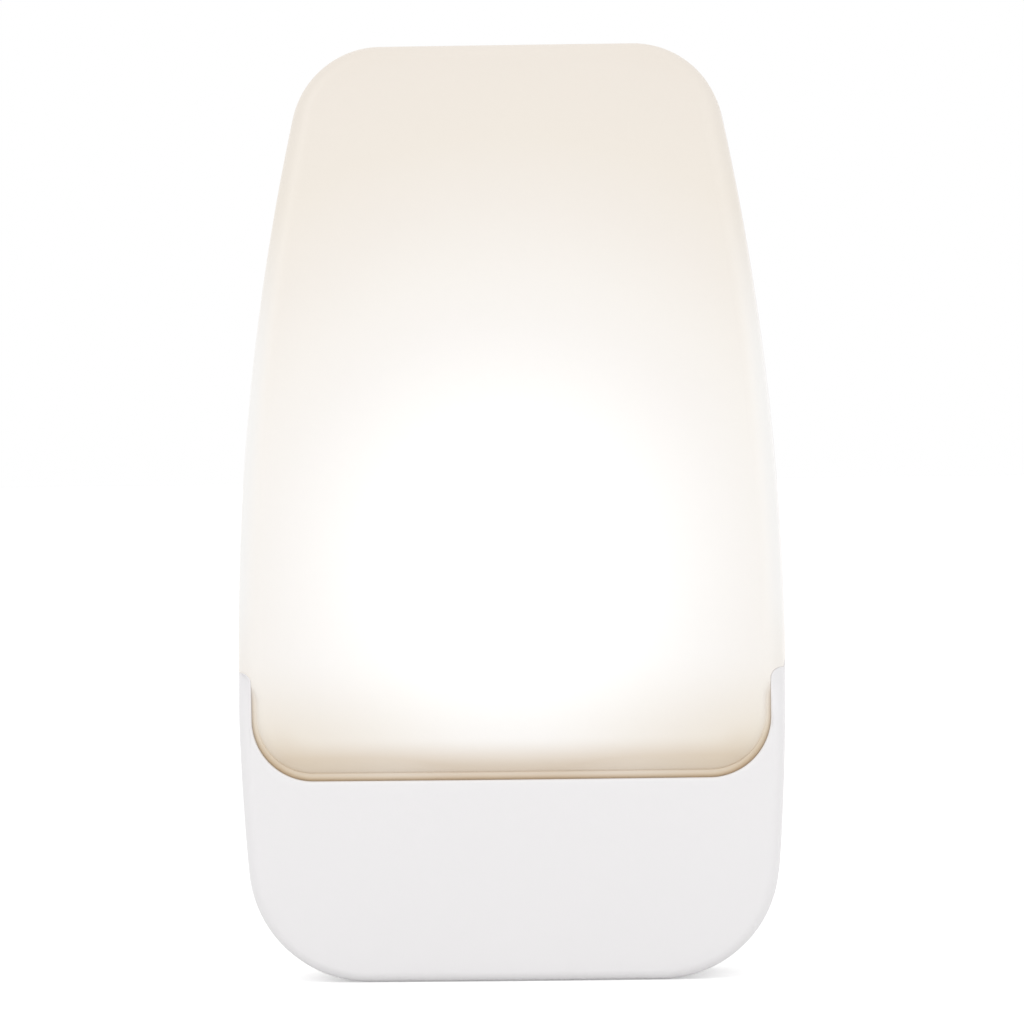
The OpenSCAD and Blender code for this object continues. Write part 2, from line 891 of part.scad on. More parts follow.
module zener_diode() {
    color("orangered") {
        translate([zener_at[0] - 2.1, -axial_d(2), zener_at[1]])
            rotate([0, 90, 0])
                cylinder(d = 2, h = 4.2);
        bent_leads(zener_at, zener_span, axial_d(2));
    }
}

module sensor_transistor() {
    base_d = board_front_d + 2;
    color("black") {
        slab(base_d, base_d + 4.6)
            translate(transistor_at)
                intersection() {
                    circle(d = 4.8);
                    translate([-3, -2.4])
                        square([6, 3.7]);
                }
        for (i = [-1:1])
            lead(transistor_at + [i * transistor_pitch, 0], base_d);
    }
}

// A light-dependent cell that looks down through the window
module photocell() {
    face_z = low_z + cover_wall + 1;
    lead_h = photocell_lead_z - face_z - 2;
    color("sienna") {
        translate([0, -window_y, face_z])
            cylinder(d = 5.1, h = 2);
        for (x = [-photocell_lead_x, photocell_lead_x]) {
            translate([x, -window_y, face_z + 2])
                cylinder(d = lead_d, h = lead_h);
            translate([x, -window_y, photocell_lead_z])
                sphere(d = lead_d, $fn = 24);
            lead([x, photocell_lead_z], window_y);
        }
    }
}

module sensor_window() {
    color([0.85, 0.9, 0.95])
        translate([0, -window_y, low_z])
            rotate_extrude()
                polygon([
                    [0, 0.3], [window_d / 2 - 0.5, 0.05], [window_d / 2, 0.3],
                    [window_d / 2, cover_wall], [window_d / 2 + 1, cover_wall],
                    [window_d / 2 + 1, cover_wall + 0.7], [0, cover_wall + 0.7]
                ]);
}

// ---------- Plug ----------

// A stamped blade, as an outline in depth and height: rounded tip outside, shoulders
// that rest on the tub's floor, and a solder tab
module blade(x, w) {
    tip = 1.6;
    color("silver")
        translate([x - blade_t / 2, 0, 0])
            rotate([90, 0, 90])
                linear_extrude(blade_t)
                    difference() {
                        polygon([
                            [-9, -1.6], [-4.1, -1.6], [-4.1, -5.4], [-rear_wall, -5.4],
                            [-rear_wall, -w / 2], [blade_l - tip, -w / 2],
                            [blade_l, tip - w / 2], [blade_l, w / 2 - tip],
                            [blade_l - tip, w / 2], [-rear_wall, w / 2],
                            [-rear_wall, 5.4], [-4.1, 5.4], [-4.1, 1.6], [-9, 1.6]
                        ]);
                        translate([blade_hole_y, 0])
                            circle(d = blade_hole_d);
                    }
}

module line_blade() {
    blade(blade_pitch / 2, line_w);
}

module neutral_blade() {
    blade(-blade_pitch / 2, neutral_w);
}

module blade_retainer() {
    color("whitesmoke")
        slab(4.2, 6.2)
            difference() {
                round_rect(24, 17, 2);
                for (x = [-1, 1])
                    translate([x * blade_pitch / 2, 0])
                        square([blade_t + 0.2, 3.4], center = true);
                for (z = [-retainer_screw_z, retainer_screw_z])
                    translate([0, z])
                        circle(d = 2.6);
            }
}

// Route of the right-hand wire, from beside the blade's tab to the board
wire_route = [
    [8, -8, -1.5], [8, -8, 1], [8, -8, 3.5], [8.3, -8, 6], [9.3, -8, 8.5],
    [10.8, -8.1, 10.8], [11.8, -8.6, 12.2], [12, -9.6, 12.5], [12, -11, 12.5], [12, -12.6, 12.5]
];

module line_wire() {
    color("dimgray")
        wire(wire_route, wire_d);
}

module neutral_wire() {
    color("whitesmoke")
        mirror([1, 0, 0])
            wire(wire_route, wire_d);
}

// ---------- Screws ----------

module retainer_screws() {
    color("gray")
        for (z = [-retainer_screw_z, retainer_screw_z])
            screw([0, z], 6.2, 4.4, 1.6, 1.85, 4.6, 1);
}

module board_screws() {
    color("gray")
        mirrored()
            screw(board_screw_at, board_front_d, 4, 0.9, 1.95, 3.9, 1);
}

module housing_screws() {
    color("gray")
        mirrored()
            screw(column_at, 6, 5.4, 2.2, 2.45, 15, -1);
}

front_cover();
diffuser();
rear_housing();
reflector();
circuit_board();
led_packages();
led_emitters();
chip_resistors();
film_capacitor();
electrolytic_capacitor();
bridge_rectifier();
fusible_resistor();
bleeder_resistor();
zener_diode();
sensor_transistor();
photocell();
sensor_window();
line_blade();
neutral_blade();
blade_retainer();
line_wire();
neutral_wire();
retainer_screws();
board_screws();
housing_screws();
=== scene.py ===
"""The looks of a plug-in night light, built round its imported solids.

Sizes in the code are millimetres unless a name or a property says otherwise; meshes are
made in metres. The origin is the plug centre on the face that meets the wall, +X is the
viewer's right, +Y points into the wall and +Z is up.
"""

import math
from collections import namedtuple

import bmesh
import bpy
from bpy.props import FloatProperty, FloatVectorProperty, IntProperty, PointerProperty
from mathutils import Matrix, Vector
from mathutils.kdtree import KDTree


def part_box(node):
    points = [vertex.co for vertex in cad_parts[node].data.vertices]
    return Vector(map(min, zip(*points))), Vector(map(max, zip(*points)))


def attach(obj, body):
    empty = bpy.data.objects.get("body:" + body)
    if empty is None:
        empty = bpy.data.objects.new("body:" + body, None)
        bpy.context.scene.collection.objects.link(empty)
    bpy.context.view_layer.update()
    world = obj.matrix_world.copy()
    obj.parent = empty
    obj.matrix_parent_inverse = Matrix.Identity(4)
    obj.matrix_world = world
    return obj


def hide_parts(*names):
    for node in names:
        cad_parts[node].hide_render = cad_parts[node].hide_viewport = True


bl_info = {
    "name": "Plug-in night light",
    "version": (1, 0, 0),
    "blender": (4, 5, 0),
    "location": "View3D > Sidebar > Night light",
    "description": "Casing, plug, light source and electronics of a plug-in night light",
    "category": "Object",
}

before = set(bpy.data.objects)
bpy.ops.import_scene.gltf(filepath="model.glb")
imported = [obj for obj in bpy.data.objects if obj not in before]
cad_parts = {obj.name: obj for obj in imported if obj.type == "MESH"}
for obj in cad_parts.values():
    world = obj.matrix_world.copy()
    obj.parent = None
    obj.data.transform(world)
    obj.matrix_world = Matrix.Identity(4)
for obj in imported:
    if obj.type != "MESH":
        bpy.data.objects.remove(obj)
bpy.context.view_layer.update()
BODY = "root"

MM = 0.001
CASING_LOW, CASING_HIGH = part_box("rear_housing")

# How finely the casing is drawn
CORNER_STEPS = 22
SIDE_STEPS = 64
ROUND_STEPS = 9
STRIPS = 40


# ---------- Settings ----------


def length(name, description, millimetres):
    return FloatProperty(
        name=name, description=description, default=millimetres * MM, unit="LENGTH", precision=5
    )


def angle(name, description, degrees):
    return FloatProperty(
        name=name, description=description, default=math.radians(degrees), subtype="ANGLE"
    )


def colour(name, description, rgb):
    return FloatVectorProperty(
        name=name, description=description, default=rgb, size=3, subtype="COLOR", min=0, max=1
    )


class CasingSizes(bpy.types.PropertyGroup):
    """Outline and front of the whole body"""

    height: length("Height", "Overall height", (CASING_HIGH.z - CASING_LOW.z) / MM)
    width: length("Width", "Width at the widest point", 60.5)
    depth: length("Depth", "From the wall to the proudest point of the front", 31)
    low: length("Bottom", "Height of the bottom edge", CASING_LOW.z / MM)
    side_radius: length("Side radius", "Radius of the long side curves", 300)
    widest: length("Widest height", "Height of the widest point", 14.5)
    top_corner: length("Top corner", "Corner radius at the top", 10)
    low_corner: length("Bottom corner", "Corner radius at the bottom", 13.2)
    crown_up: length("Crown radius, upright", "Radius of the front from top to bottom", 230)
    crown_across: length("Crown radius, across", "Radius of the front from side to side", 380)
    crown_height: length("Crown height", "Height at which the front is proudest", 20)
    seam: length("Parting line", "Distance of the parting line from the wall", 12)
    rim_round: length("Rim round", "Round along the parting line", 0.22)


class CoverSizes(bpy.types.PropertyGroup):
    """Front cover"""

    wall: length("Wall", "Wall thickness", 1.5)
    edge: length("Edge round", "Round along the outer front edge", 1.4)
    notch: length("Notch height", "Height of the bottom of the notch", 2.5)
    notch_corner: length("Notch corner", "Corner radius of the notch", 6.8)
    notch_round: length("Notch round", "Round along the notch's front edge", 0.3)
    tip: length("Tip round", "Round on the inner side of each prong's tip", 1.2)
    tip_height: length("Tip height", "Height of the prongs' tips", 14.6)


class DiffuserSizes(bpy.types.PropertyGroup):
    """Diffuser"""

    wall: length("Wall", "Wall thickness", 1.6)
    side: length("Side round", "Round along the sides", 2.6)
    top: length("Top round", "Round along the top", 1.8)
    low: length("Bottom round", "Round along the bottom", 2.6)
    gap: length("Gap", "Gap to the cover", 0.1)
    ledge: length("Ledge width", "Width of the ledge along the foot of the dome", 0.85)
    side_ledge: length("Side ledge width", "Width of the ledge beside the prongs", 0.45)
    ledge_drop: length("Ledge drop", "Depth of the ledge below the front", 0.6)
    bead: length("Bead", "Round along the outer edge of the ledge", 0.4)
    low_rim: length("Low rim", "Distance of the bottom wall's rim from the wall", 14.6)


class HousingSizes(bpy.types.PropertyGroup):
    """Rear housing"""

    wall: length("Wall", "Thickness of walls and floor", 2)
    gap: length("Wall gap", "From the wall to the back of the upper part", 7)
    edge: length("Rear edge round", "Round along the back edge", 2.5)
    rim: length("Rim width", "Width of the rim at the parting line", 3)
    lip: length("Lip", "Height of the lip inside the front parts", 1.4)
    block_width: length("Block width", "Width of the block that meets the wall", 48)
    block_low: length("Block bottom", "Bottom of that block", -15.5)
    block_top: length("Block top", "Top of that block", 17)


class PlugSizes(bpy.types.PropertyGroup):
    """Blades of the plug"""

    pitch: length("Pitch", "Distance between the blades", 12.7)
    reach: length("Length", "Length of the blades outside the housing", 16.5)
    thickness: length("Thickness", "Thickness of a blade", 1.52)
    line: length("Line width", "Width of the line blade", 6.35)
    neutral: length("Neutral width", "Width of the neutral blade", 7.92)
    hole: length("Hole", "Hole in each blade", 3.2)
    hole_place: length("Hole place", "Distance from the wall face to the hole", 11.7)


class LightSizes(bpy.types.PropertyGroup):
    """Light source and sensor"""

    height: length("Light height", "Height of the row of light-emitting diodes", 25.2)
    pitch: length("Light pitch", "Distance between them", 7)
    count: IntProperty(name="Count", description="Number of diodes", default=3, min=1, max=4)
    glow: FloatProperty(name="Glow", description="Strength of their own light", default=1.0)
    window: length("Window", "Diameter of the sensor window", 6)
    window_place: length("Window place", "Distance of the window from the wall", 20)


class Finishes(bpy.types.PropertyGroup):
    """Colours"""

    cover: colour("Cover", "Satin white of the cover", (0.845, 0.832, 0.838))
    housing: colour("Housing", "White of the rear housing", (0.82, 0.81, 0.80))
    # Glow and Cream run the light source's light through the diffuser's colour: a painted pool of light,
    # brightest in front of it, fading to cream far from it
    glow: colour("Glow", "Diffuser in front of the light source", (1.0, 1.0, 0.99))
    cream: colour("Cream", "Diffuser far from the light source", (0.875, 0.815, 0.735))
    # Foot is painted shade at the foot of the dome, where the thick plastic lets less of the light through
    foot: colour("Foot", "Foot of the dome, where the plastic is thick", (0.765, 0.675, 0.57))
    board: colour("Board", "Solder mask", (0.03, 0.19, 0.08))
    metal: colour("Plating", "Nickel plating", (0.72, 0.72, 0.70))
    zinc: colour("Zinc", "Zinc plating", (0.60, 0.61, 0.63))


class StageSettings(bpy.types.PropertyGroup):
    """Floor, lamps and camera"""

    distance: length("Camera distance", "From the wall face to the camera", 900)
    yaw: angle("Camera yaw", "How far round to the right", 2.4)
    roll: angle("Camera roll", "How far the picture leans", -0.73)
    rise: angle("Camera rise", "Elevation of the camera", 1.0)
    aim: FloatVectorProperty(
        name="Camera aim", description="Point the camera looks at", subtype="XYZ", unit="LENGTH",
        default=(0.00035, -0.028, 0.03204),
    )
    lens: FloatProperty(name="Lens", description="Focal length", subtype="DISTANCE_CAMERA", default=277)
    world: FloatProperty(name="Room light", description="Strength of the white room", default=0.88)
    key: FloatProperty(name="Key light", description="Power in watts", default=2.9)
    fill: FloatProperty(name="Fill light", description="Power in watts", default=2.4)


class NightLightSettings(bpy.types.PropertyGroup):
    """All that a user would change"""

    casing: PointerProperty(type=CasingSizes)
    cover: PointerProperty(type=CoverSizes)
    diffuser: PointerProperty(type=DiffuserSizes)
    housing: PointerProperty(type=HousingSizes)
    plug: PointerProperty(type=PlugSizes)
    light: PointerProperty(type=LightSizes)
    finishes: PointerProperty(type=Finishes)
    stage: PointerProperty(type=StageSettings)


# ---------- Node trees ----------


def operation(name, swapped=False):
    """A method of Value that adds a Math node."""

    def method(self, *others):
        return self.graph.math(name, *((*others, self) if swapped else (self, *others)))

    return method


class Value:
    """A number in a node tree. Expressions on it add Math nodes."""

    def __init__(self, graph, socket):
        self.graph = graph
        self.socket = socket

    __add__ = __radd__ = operation("ADD")
    __sub__ = operation("SUBTRACT")
    __rsub__ = operation("SUBTRACT", swapped=True)
    __mul__ = __rmul__ = operation("MULTIPLY")
    __truediv__ = operation("DIVIDE")
    __abs__ = operation("ABSOLUTE")
    root = operation("SQRT")
    fraction = operation("FRACT")
    floor = operation("FLOOR")
    least = operation("MINIMUM")
    most = operation("MAXIMUM")

    def step(self, low, high):
        """0 up to low and 1 from high on, smooth in between."""
        inputs = {"Value": self, "From Min": low, "From Max": high}
        node = self.graph.add("ShaderNodeMapRange", inputs, interpolation_type="SMOOTHSTEP")
        return Value(self.graph, node.outputs["Result"])


class Graph:
    """Adds nodes to a tree, laid out in columns."""

    in_column, column_width, row_height = 8, 190, 210

    def __init__(self, tree):
        self.tree = tree

    def add(self, kind, inputs=None, **settings):
        """A node of that type, with its settings and then its sockets set or linked."""
        column, row = divmod(len(self.tree.nodes), self.in_column)
        node = self.tree.nodes.new(kind)
        node.location = (column * self.column_width, -row * self.row_height)
        for name, value in settings.items():
            setattr(node, name, value)
        for key, value in (inputs or {}).items():
            self.feed(node.inputs[key], value)
        return node

    def feed(self, socket, value):
        """Links a value or socket to a socket, or sets it to a number or colour."""
        if isinstance(value, Value):
            value = value.socket
        if isinstance(value, bpy.types.NodeSocket):
            self.tree.links.new(value, socket)
        elif socket.type == "RGBA" and len(value) == 3:
            socket.default_value = (*value, 1)
        else:
            socket.default_value = value

    def math(self, kind, *values):
        node = self.add("ShaderNodeMath", dict(enumerate(values)), operation=kind)
        return Value(self, node.outputs[0])

    def scaled(self, vector, factor):
        """A vector or colour times a number."""
        return self.add("ShaderNodeVectorMath", {0: vector, "Scale": factor}, operation="SCALE").outputs[0]

    def split(self, vector):
        """x, y and z of a vector."""
        return [Value(self, socket) for socket in self.add("ShaderNodeSeparateXYZ", {0: vector}).outputs]


class Finish(Graph):
    """A material round one Principled shader, with patterns sized in millimetres."""

    def __init__(self, name):
        self.material = bpy.data.materials.new(name)
        self.material.use_nodes = True
        self.material.node_tree.nodes.clear()
        super().__init__(self.material.node_tree)
        self.place = self.add("ShaderNodeTexCoord").outputs["Object"]

    def position(self):
        """x, y and z on the piece, in millimetres."""
        return self.split(self.scaled(self.place, 1 / MM))

    def attribute(self, name):
        return Value(self, self.add("ShaderNodeAttribute", attribute_name=name).outputs["Fac"])

    def noise(self, size, detail=2.0, rough=0.5, stretch=None):
        """Smooth noise from 0 to 1 whose blotches are about that size."""
        place = self.place
        if stretch:
            mapping = self.add("ShaderNodeMapping", {"Vector": place, "Scale": stretch}, vector_type="POINT")
            place = mapping.outputs[0]
        inputs = {"Vector": place, "Scale": 1 / (size * MM), "Detail": detail, "Roughness": rough}
        return Value(self, self.add("ShaderNodeTexNoise", inputs).outputs["Fac"])

    def cells(self, size):
        """Distance from the middle of cells of about that size."""
        node = self.add("ShaderNodeTexVoronoi", {"Vector": self.place, "Scale": 1 / (size * MM)})
        return Value(self, node.outputs["Distance"])

    def ramp(self, value, stops):
        """A colour that runs through stops, each (value, colour)."""
        node = self.add("ShaderNodeValToRGB", {"Fac": value})
        elements = node.color_ramp.elements
        while len(elements) < len(stops):
            elements.new(1)
        for element, (place, rgb) in zip(elements, stops):
            element.position = place
            element.color = (*rgb, 1)
        return node.outputs["Color"]

    def blend(self, share, first, second, kind="MIX"):
        """Two colours mixed by share."""
        inputs = {"Factor": share, 6: first, 7: second}
        return self.add("ShaderNodeMix", inputs, data_type="RGBA", blend_type=kind).outputs[2]

    def bump(self, height, depth, strength):
        """A normal from a height that runs from 0 to 1, depth millimetres tall."""
        inputs = {"Height": height, "Distance": depth * MM, "Strength": strength}
        return self.add("ShaderNodeBump", inputs).outputs[0]

    def done(self, base, roughness, normal=None, ior=1.5, others=None):
        """Ends the material in a Principled shader."""
        inputs = {"Base Color": base, "Roughness": roughness, "IOR": ior, **(others or {})}
        if normal:
            inputs["Normal"] = normal
        shader = self.add("ShaderNodeBsdfPrincipled", inputs)
        self.add("ShaderNodeOutputMaterial", {"Surface": shader.outputs[0]})
        return self.material


class Modelling(Graph):
    """A Geometry Nodes tree with named inputs. It ends in Realize Instances and Set Material."""

    def __init__(self, name, inputs):
        tree = bpy.data.node_groups.new(name, "GeometryNodeTree")
        super().__init__(tree)
        sockets = [("Geometry", "INPUT", "Geometry"), ("Geometry", "OUTPUT", "Geometry")]
        sockets += [(label, "INPUT", kind) for label, kind in {**inputs, "Material": "Material"}.items()]
        for label, way, kind in sockets:
            tree.interface.new_socket(name=label, in_out=way, socket_type="NodeSocket" + kind)
        self.given = self.add("NodeGroupInput").outputs

    def number(self, name):
        return Value(self, self.given[name])

    def done(self, geometry):
        whole = self.add("GeometryNodeRealizeInstances", {0: geometry}).outputs[0]
        inputs = {"Geometry": whole, "Material": self.given["Material"]}
        self.add("NodeGroupOutput", {0: self.add("GeometryNodeSetMaterial", inputs).outputs[0]})
        return self.tree


class RowModelling(Modelling):
    """A tree that sets copies of its piece in a row."""

    def __init__(self, name, inputs):
        super().__init__(name, {**inputs, "Count": "Int", "Place": "Vector", "Spacing": "Vector"})

    def done(self, geometry):
        sockets = {"Count": "Count", "Start Location": "Place", "Offset": "Spacing"}
        inputs = {socket: self.given[name] for socket, name in sockets.items()}
        row = self.add("GeometryNodeMeshLine", inputs, mode="OFFSET")
        inputs = {"Points": row.outputs[0], "Instance": geometry}
        return super().done(self.add("GeometryNodeInstanceOnPoints", inputs).outputs[0])


def made_once(name):
    """Builds a tree at the first call of its function, and finds it by its name at the others."""

    def wrap(build):
        return lambda: bpy.data.node_groups.get(name) or build(name)

    return wrap


@made_once("Row of copies")
def row_tree(name):
    """A row of copies of a piece."""
    tree = RowModelling(name, {})
    return tree.done(tree.given["Geometry"])


@made_once("Copies at points")
def scatter_tree(name):
    """A copy of a piece at each point of a mesh."""
    tree = Modelling(name, {"Piece": "Object"})
    pattern = tree.add("GeometryNodeObjectInfo", {"Object": tree.given["Piece"]})
    inputs = {"Points": tree.given["Geometry"], "Instance": pattern.outputs["Geometry"]}
    return tree.done(tree.add("GeometryNodeInstanceOnPoints", inputs).outputs[0])


@made_once("Round wires")
def wire_tree(name):
    """Round wires along the lines of a mesh."""
    tree = Modelling(name, {"Diameter": "Float", "Sides": "Int"})
    path = tree.add("GeometryNodeMeshToCurve", {"Mesh": tree.given["Geometry"]})
    inputs = {"Resolution": tree.given["Sides"], "Radius": tree.number("Diameter") / 2}
    profile = tree.add("GeometryNodeCurvePrimitiveCircle", inputs)
    inputs = {"Curve": path.outputs[0], "Profile Curve": profile.outputs[0], "Fill Caps": True}
    return tree.done(tree.add("GeometryNodeCurveToMesh", inputs).outputs[0])


@made_once("Threaded screws")
def thread_tree(name):
    """Cuts a thread into the shank of a screw that lies along Y, and sets a row of them."""
    labels = ("Thread start", "Thread end", "Pitch", "Thread height", "Direction")
    tree = RowModelling(name, dict.fromkeys(labels, "Float"))
    x, y, z = tree.split(tree.add("GeometryNodeInputPosition").outputs[0])
    reach = y * tree.number("Direction")
    start, end, pitch = (tree.number(label) for label in ("Thread start", "Thread end", "Pitch"))
    phase = (reach / pitch + tree.math("ARCTAN2", x, z) / (2 * math.pi)).fraction()
    crest = (1 - abs(phase * 2 - 1)).step(0.45, 0.9)
    shank = reach.step(start, start + pitch) * (1 - reach.step(end - pitch, end))
    lift = crest * shank * tree.number("Thread height")
    flat = tree.add("ShaderNodeCombineXYZ", {0: x, 2: z})
    outward = tree.add("ShaderNodeVectorMath", {0: flat.outputs[0]}, operation="NORMALIZE")
    inputs = {"Geometry": tree.given["Geometry"], "Offset": tree.scaled(outward.outputs[0], lift)}
    return tree.done(tree.add("GeometryNodeSetPosition", inputs).outputs[0])


@made_once("Crowned front")
def crown_tree(name):
    """Brings a flat shell's front forward onto a front that is crowned both ways.

    share says how far a point follows the front, and foot is the place on it that it
    follows.
    """
    labels = ("Depth", "Crown upright", "Crown across", "Proudest height")
    tree = Modelling(name, dict.fromkeys(labels, "Float"))
    share, foot = (
        tree.add("GeometryNodeInputNamedAttribute", {"Name": label}, data_type=kind).outputs[0]
        for label, kind in (("share", "FLOAT"), ("foot", "FLOAT_VECTOR"))
    )
    x, _, z = tree.split(foot)
    rise = z - tree.number("Proudest height")
    up, across = tree.number("Crown upright"), tree.number("Crown across")
    front = (
        tree.number("Depth") - (up - (up * up - rise * rise).root())
        - (across - (across * across - x * x).root())
    )
    shift = tree.add("ShaderNodeCombineXYZ", {1: front * Value(tree, share) * -1}).outputs[0]
    inputs = {"Geometry": tree.given["Geometry"], "Offset": shift}
    geometry = tree.add("GeometryNodeSetPosition", inputs).outputs[0]
    for label in ("share", "foot"):
        geometry = tree.add("GeometryNodeRemoveAttribute", {"Geometry": geometry, "Name": label}).outputs[0]
    return tree.done(geometry)


def plain_mesh(obj):
    """The mesh of an object with its modifiers worked in. The modifiers are removed."""
    bpy.context.view_layer.update()
    seen = bpy.context.evaluated_depsgraph_get()
    mesh = bpy.data.meshes.new_from_object(
        obj.evaluated_get(seen), preserve_all_data_layers=True, depsgraph=seen
    )
    obj.modifiers.clear()
    return mesh


def worked(obj, tree, material, values):
    """Runs a Geometry Nodes tree on an object, and gives it the result as a plain mesh."""
    values = {**values, "Material": surface_of(material)}
    modifier = obj.modifiers.new(tree.name, "NODES")
    modifier.node_group = tree
    for item in tree.interface.items_tree:
        if item.in_out == "INPUT" and item.name in values:
            modifier[item.identifier] = values[item.name]
    old, obj.data = obj.data, plain_mesh(obj)
    bpy.data.meshes.remove(old)
    smoothed(obj.data)
    return obj


# ---------- Meshes ----------

# Edges that turn by more than this many degrees stay sharp
SHARP_FROM = 32

# A point of a piece. share says how far it follows the crowned front, and foot is the place
# on the front that it follows.
Point = namedtuple("Point", "x y z share foot_x foot_z", defaults=(0.0, 0.0, 0.0))


class Skin:
    """Points and faces of a piece, in millimetres."""

    def __init__(self):
        self.points = []
        self.faces = []

    def ring(self, points):
        """Adds points and returns their indices."""
        first = len(self.points)
        self.points.extend(points)
        return list(range(first, len(self.points)))

    def join(self, low, high, closed=True):
        """Faces between two rings of equal length."""
        count = len(low)
        for i in range(count if closed else count - 1):
            j = (i + 1) % count
            self.faces.append((low[i], high[i], high[j], low[j]))

    def loft(self, rings, ends=True):
        """Adds rings of points with faces between them, and a face over each end."""
        added = [self.ring(ring) for ring in rings]
        for low, high in zip(added, added[1:]):
            self.join(low, high)
        if ends:
            self.faces += [tuple(added[0]), tuple(reversed(added[-1]))]
        return added

    def mesh(self):
        mesh = bpy.data.meshes.new("skin")
        mesh.from_pydata([(p[0] * MM, p[1] * MM, p[2] * MM) for p in self.points], [], self.faces)
        return mesh

    def crown_mesh(self):
        """The mesh with what each point follows, for the tree that crowns the front."""
        mesh = self.mesh()
        share = mesh.attributes.new("share", "FLOAT", "POINT")
        share.data.foreach_set("value", [p.share for p in self.points])
        foot = mesh.attributes.new("foot", "FLOAT_VECTOR", "POINT")
        feet = [(p.foot_x * MM, 0.0, p.foot_z * MM) for p in self.points]
        foot.data.foreach_set("vector", [n for place in feet for n in place])
        return mesh


def linked(name, data):
    obj = bpy.data.objects.new(name, data)
    bpy.context.scene.collection.objects.link(obj)
    return obj


def smoothed(mesh):
    """Faces outwards and smooth, with sharp edges kept sharp."""
    work = bmesh.new()
    work.from_mesh(mesh)
    bmesh.ops.remove_doubles(work, verts=work.verts, dist=1e-7)
    bmesh.ops.recalc_face_normals(work, faces=work.faces)
    if work.calc_volume(signed=True) < 0:
        bmesh.ops.reverse_faces(work, faces=work.faces)
    work.to_mesh(mesh)
    work.free()
    mesh.shade_smooth()
    mesh.set_sharp_from_angle(angle=math.radians(SHARP_FROM))
    return mesh


def turned(skin, profile, at, along, steps, side=None):
    """Adds a closed turned body: a profile of (radius, distance along) spun round a line."""
    along = Vector(along)
    side = side or along.orthogonal().normalized()
    other, turn = along.cross(side), 2 * math.pi / steps
    spokes = [side * math.cos(i * turn) + other * math.sin(i * turn) for i in range(steps)]
    rings = []
    for radius, reach in profile:
        centre = Vector(at) + along * reach
        rings.append(skin.ring([centre + radius * spoke for spoke in spokes] if radius else [centre]))
    for low, high in zip(rings, rings[1:]):
        if len(low) == 1:
            skin.faces.extend((low[0], high[i], high[(i + 1) % steps]) for i in range(steps))
        elif len(high) == 1:
            skin.faces.extend((low[i], high[0], low[(i + 1) % steps]) for i in range(steps))
        else:
            skin.join(low, high)


def turned_mesh(bodies, steps=48):
    """A mesh of turned bodies, each (profile, place, direction)."""
    skin = Skin()
    for body in bodies:
        turned(skin, *body, steps)
    return smoothed(skin.mesh())


def cut(obj, tool, operation="DIFFERENCE"):
    """Takes a mesh away from an object, or adds it. The mesh itself is removed."""
    cutter = linked("tool", tool)
    modifier = obj.modifiers.new(operation.title(), "BOOLEAN")
    modifier.operation = operation
    modifier.object = cutter
    modifier.solver = "EXACT"
    old, obj.data = obj.data, plain_mesh(obj)
    bpy.data.objects.remove(cutter)
    bpy.data.meshes.remove(old)
    bpy.data.meshes.remove(tool)


def rounded(corners, closed=True, steps=5):
    """A line with its corners rounded. Each corner is (place, radius)."""
    places = [Vector(place) for place, _ in corners]
    found = []
    for i, (_, radius) in enumerate(corners):
        here = places[i]
        if radius <= 0 or (not closed and i in (0, len(corners) - 1)):
            found.append(here)
            continue
        a = (places[i - 1] - here).normalized()
        b = (places[(i + 1) % len(places)] - here).normalized()
        half = a.angle(b) / 2
        centre = here + (a + b).normalized() * (radius / math.sin(half))
        start = here + a * (radius / math.tan(half)) - centre
        end = here + b * (radius / math.tan(half)) - centre
        found += [centre + radius * start.slerp(end, k / steps) for k in range(steps + 1)]
    return found


CORNERS = ((-1, -1), (1, -1), (1, 1), (-1, 1))


def round_box(width, height, radius, at=(0, 0)):
    """The outline of a rectangle with rounded corners."""
    return rounded([((at[0] + i * width / 2, at[1] + j * height / 2), radius) for i, j in CORNERS])


def round_hole(at, diameter, steps=32):
    radius, turn = diameter / 2, 2 * math.pi / steps
    return [
        Vector((at[0] + radius * math.cos(i * turn), at[1] + radius * math.sin(i * turn)))
        for i in range(steps)
    ]


# Directions of turned bodies
BACK_TO_FRONT = (0, -1, 0)
UPWARDS = (0, 0, 1)

# Planes that flat pieces are drawn in, as the axes across, up and through the thickness
FACING = ((1, 0, 0), (0, 0, 1), (0, -1, 0))
SIDEWAYS = ((0, 1, 0), (0, 0, 1), (1, 0, 0))


def plate(outlines, start, end, bevel, plane=FACING):
    """A flat piece with bevelled edges. The first outline is the outside, the rest holes.

    It runs from start to end through its thickness.
    """
    curve = bpy.data.curves.new("plate", "CURVE")
    curve.dimensions = "2D"
    curve.fill_mode = "BOTH"
    curve.bevel_mode = "ROUND"
    curve.bevel_depth = bevel
    curve.bevel_resolution = 2
    curve.offset = -bevel
    curve.extrude = (end - start) / 2 - bevel
    for i, outline in enumerate(outlines):
        area = sum(a[0] * b[1] - b[0] * a[1] for a, b in zip(outline, outline[1:] + outline[:1]))
        if (area > 0) == (i > 0):
            outline = outline[::-1]
        spline = curve.splines.new("POLY")
        spline.points.add(len(outline) - 1)
        for point, (u, v) in zip(spline.points, outline):
            point.co = (u, v, 0, 1)
        spline.use_cyclic_u = True
    obj = linked("plate", curve)
    mesh = plain_mesh(obj)
    bpy.data.objects.remove(obj)
    bpy.data.curves.remove(curve)
    turn = Matrix(plane).transposed().to_4x4()
    middle = Vector(plane[2]) * (start + end) / 2
    mesh.transform(Matrix.Scale(MM, 4) @ Matrix.Translation(middle) @ turn)
    return smoothed(mesh)


def joined(meshes):
    """Several meshes as one."""
    work = bmesh.new()
    for mesh in meshes:
        work.from_mesh(mesh)
        bpy.data.meshes.remove(mesh)
    return mesh_of(work)


def mesh_of(work):
    """A mesh of what was worked on, which is freed."""
    mesh = bpy.data.meshes.new("worked")
    work.to_mesh(mesh)
    work.free()
    return smoothed(mesh)


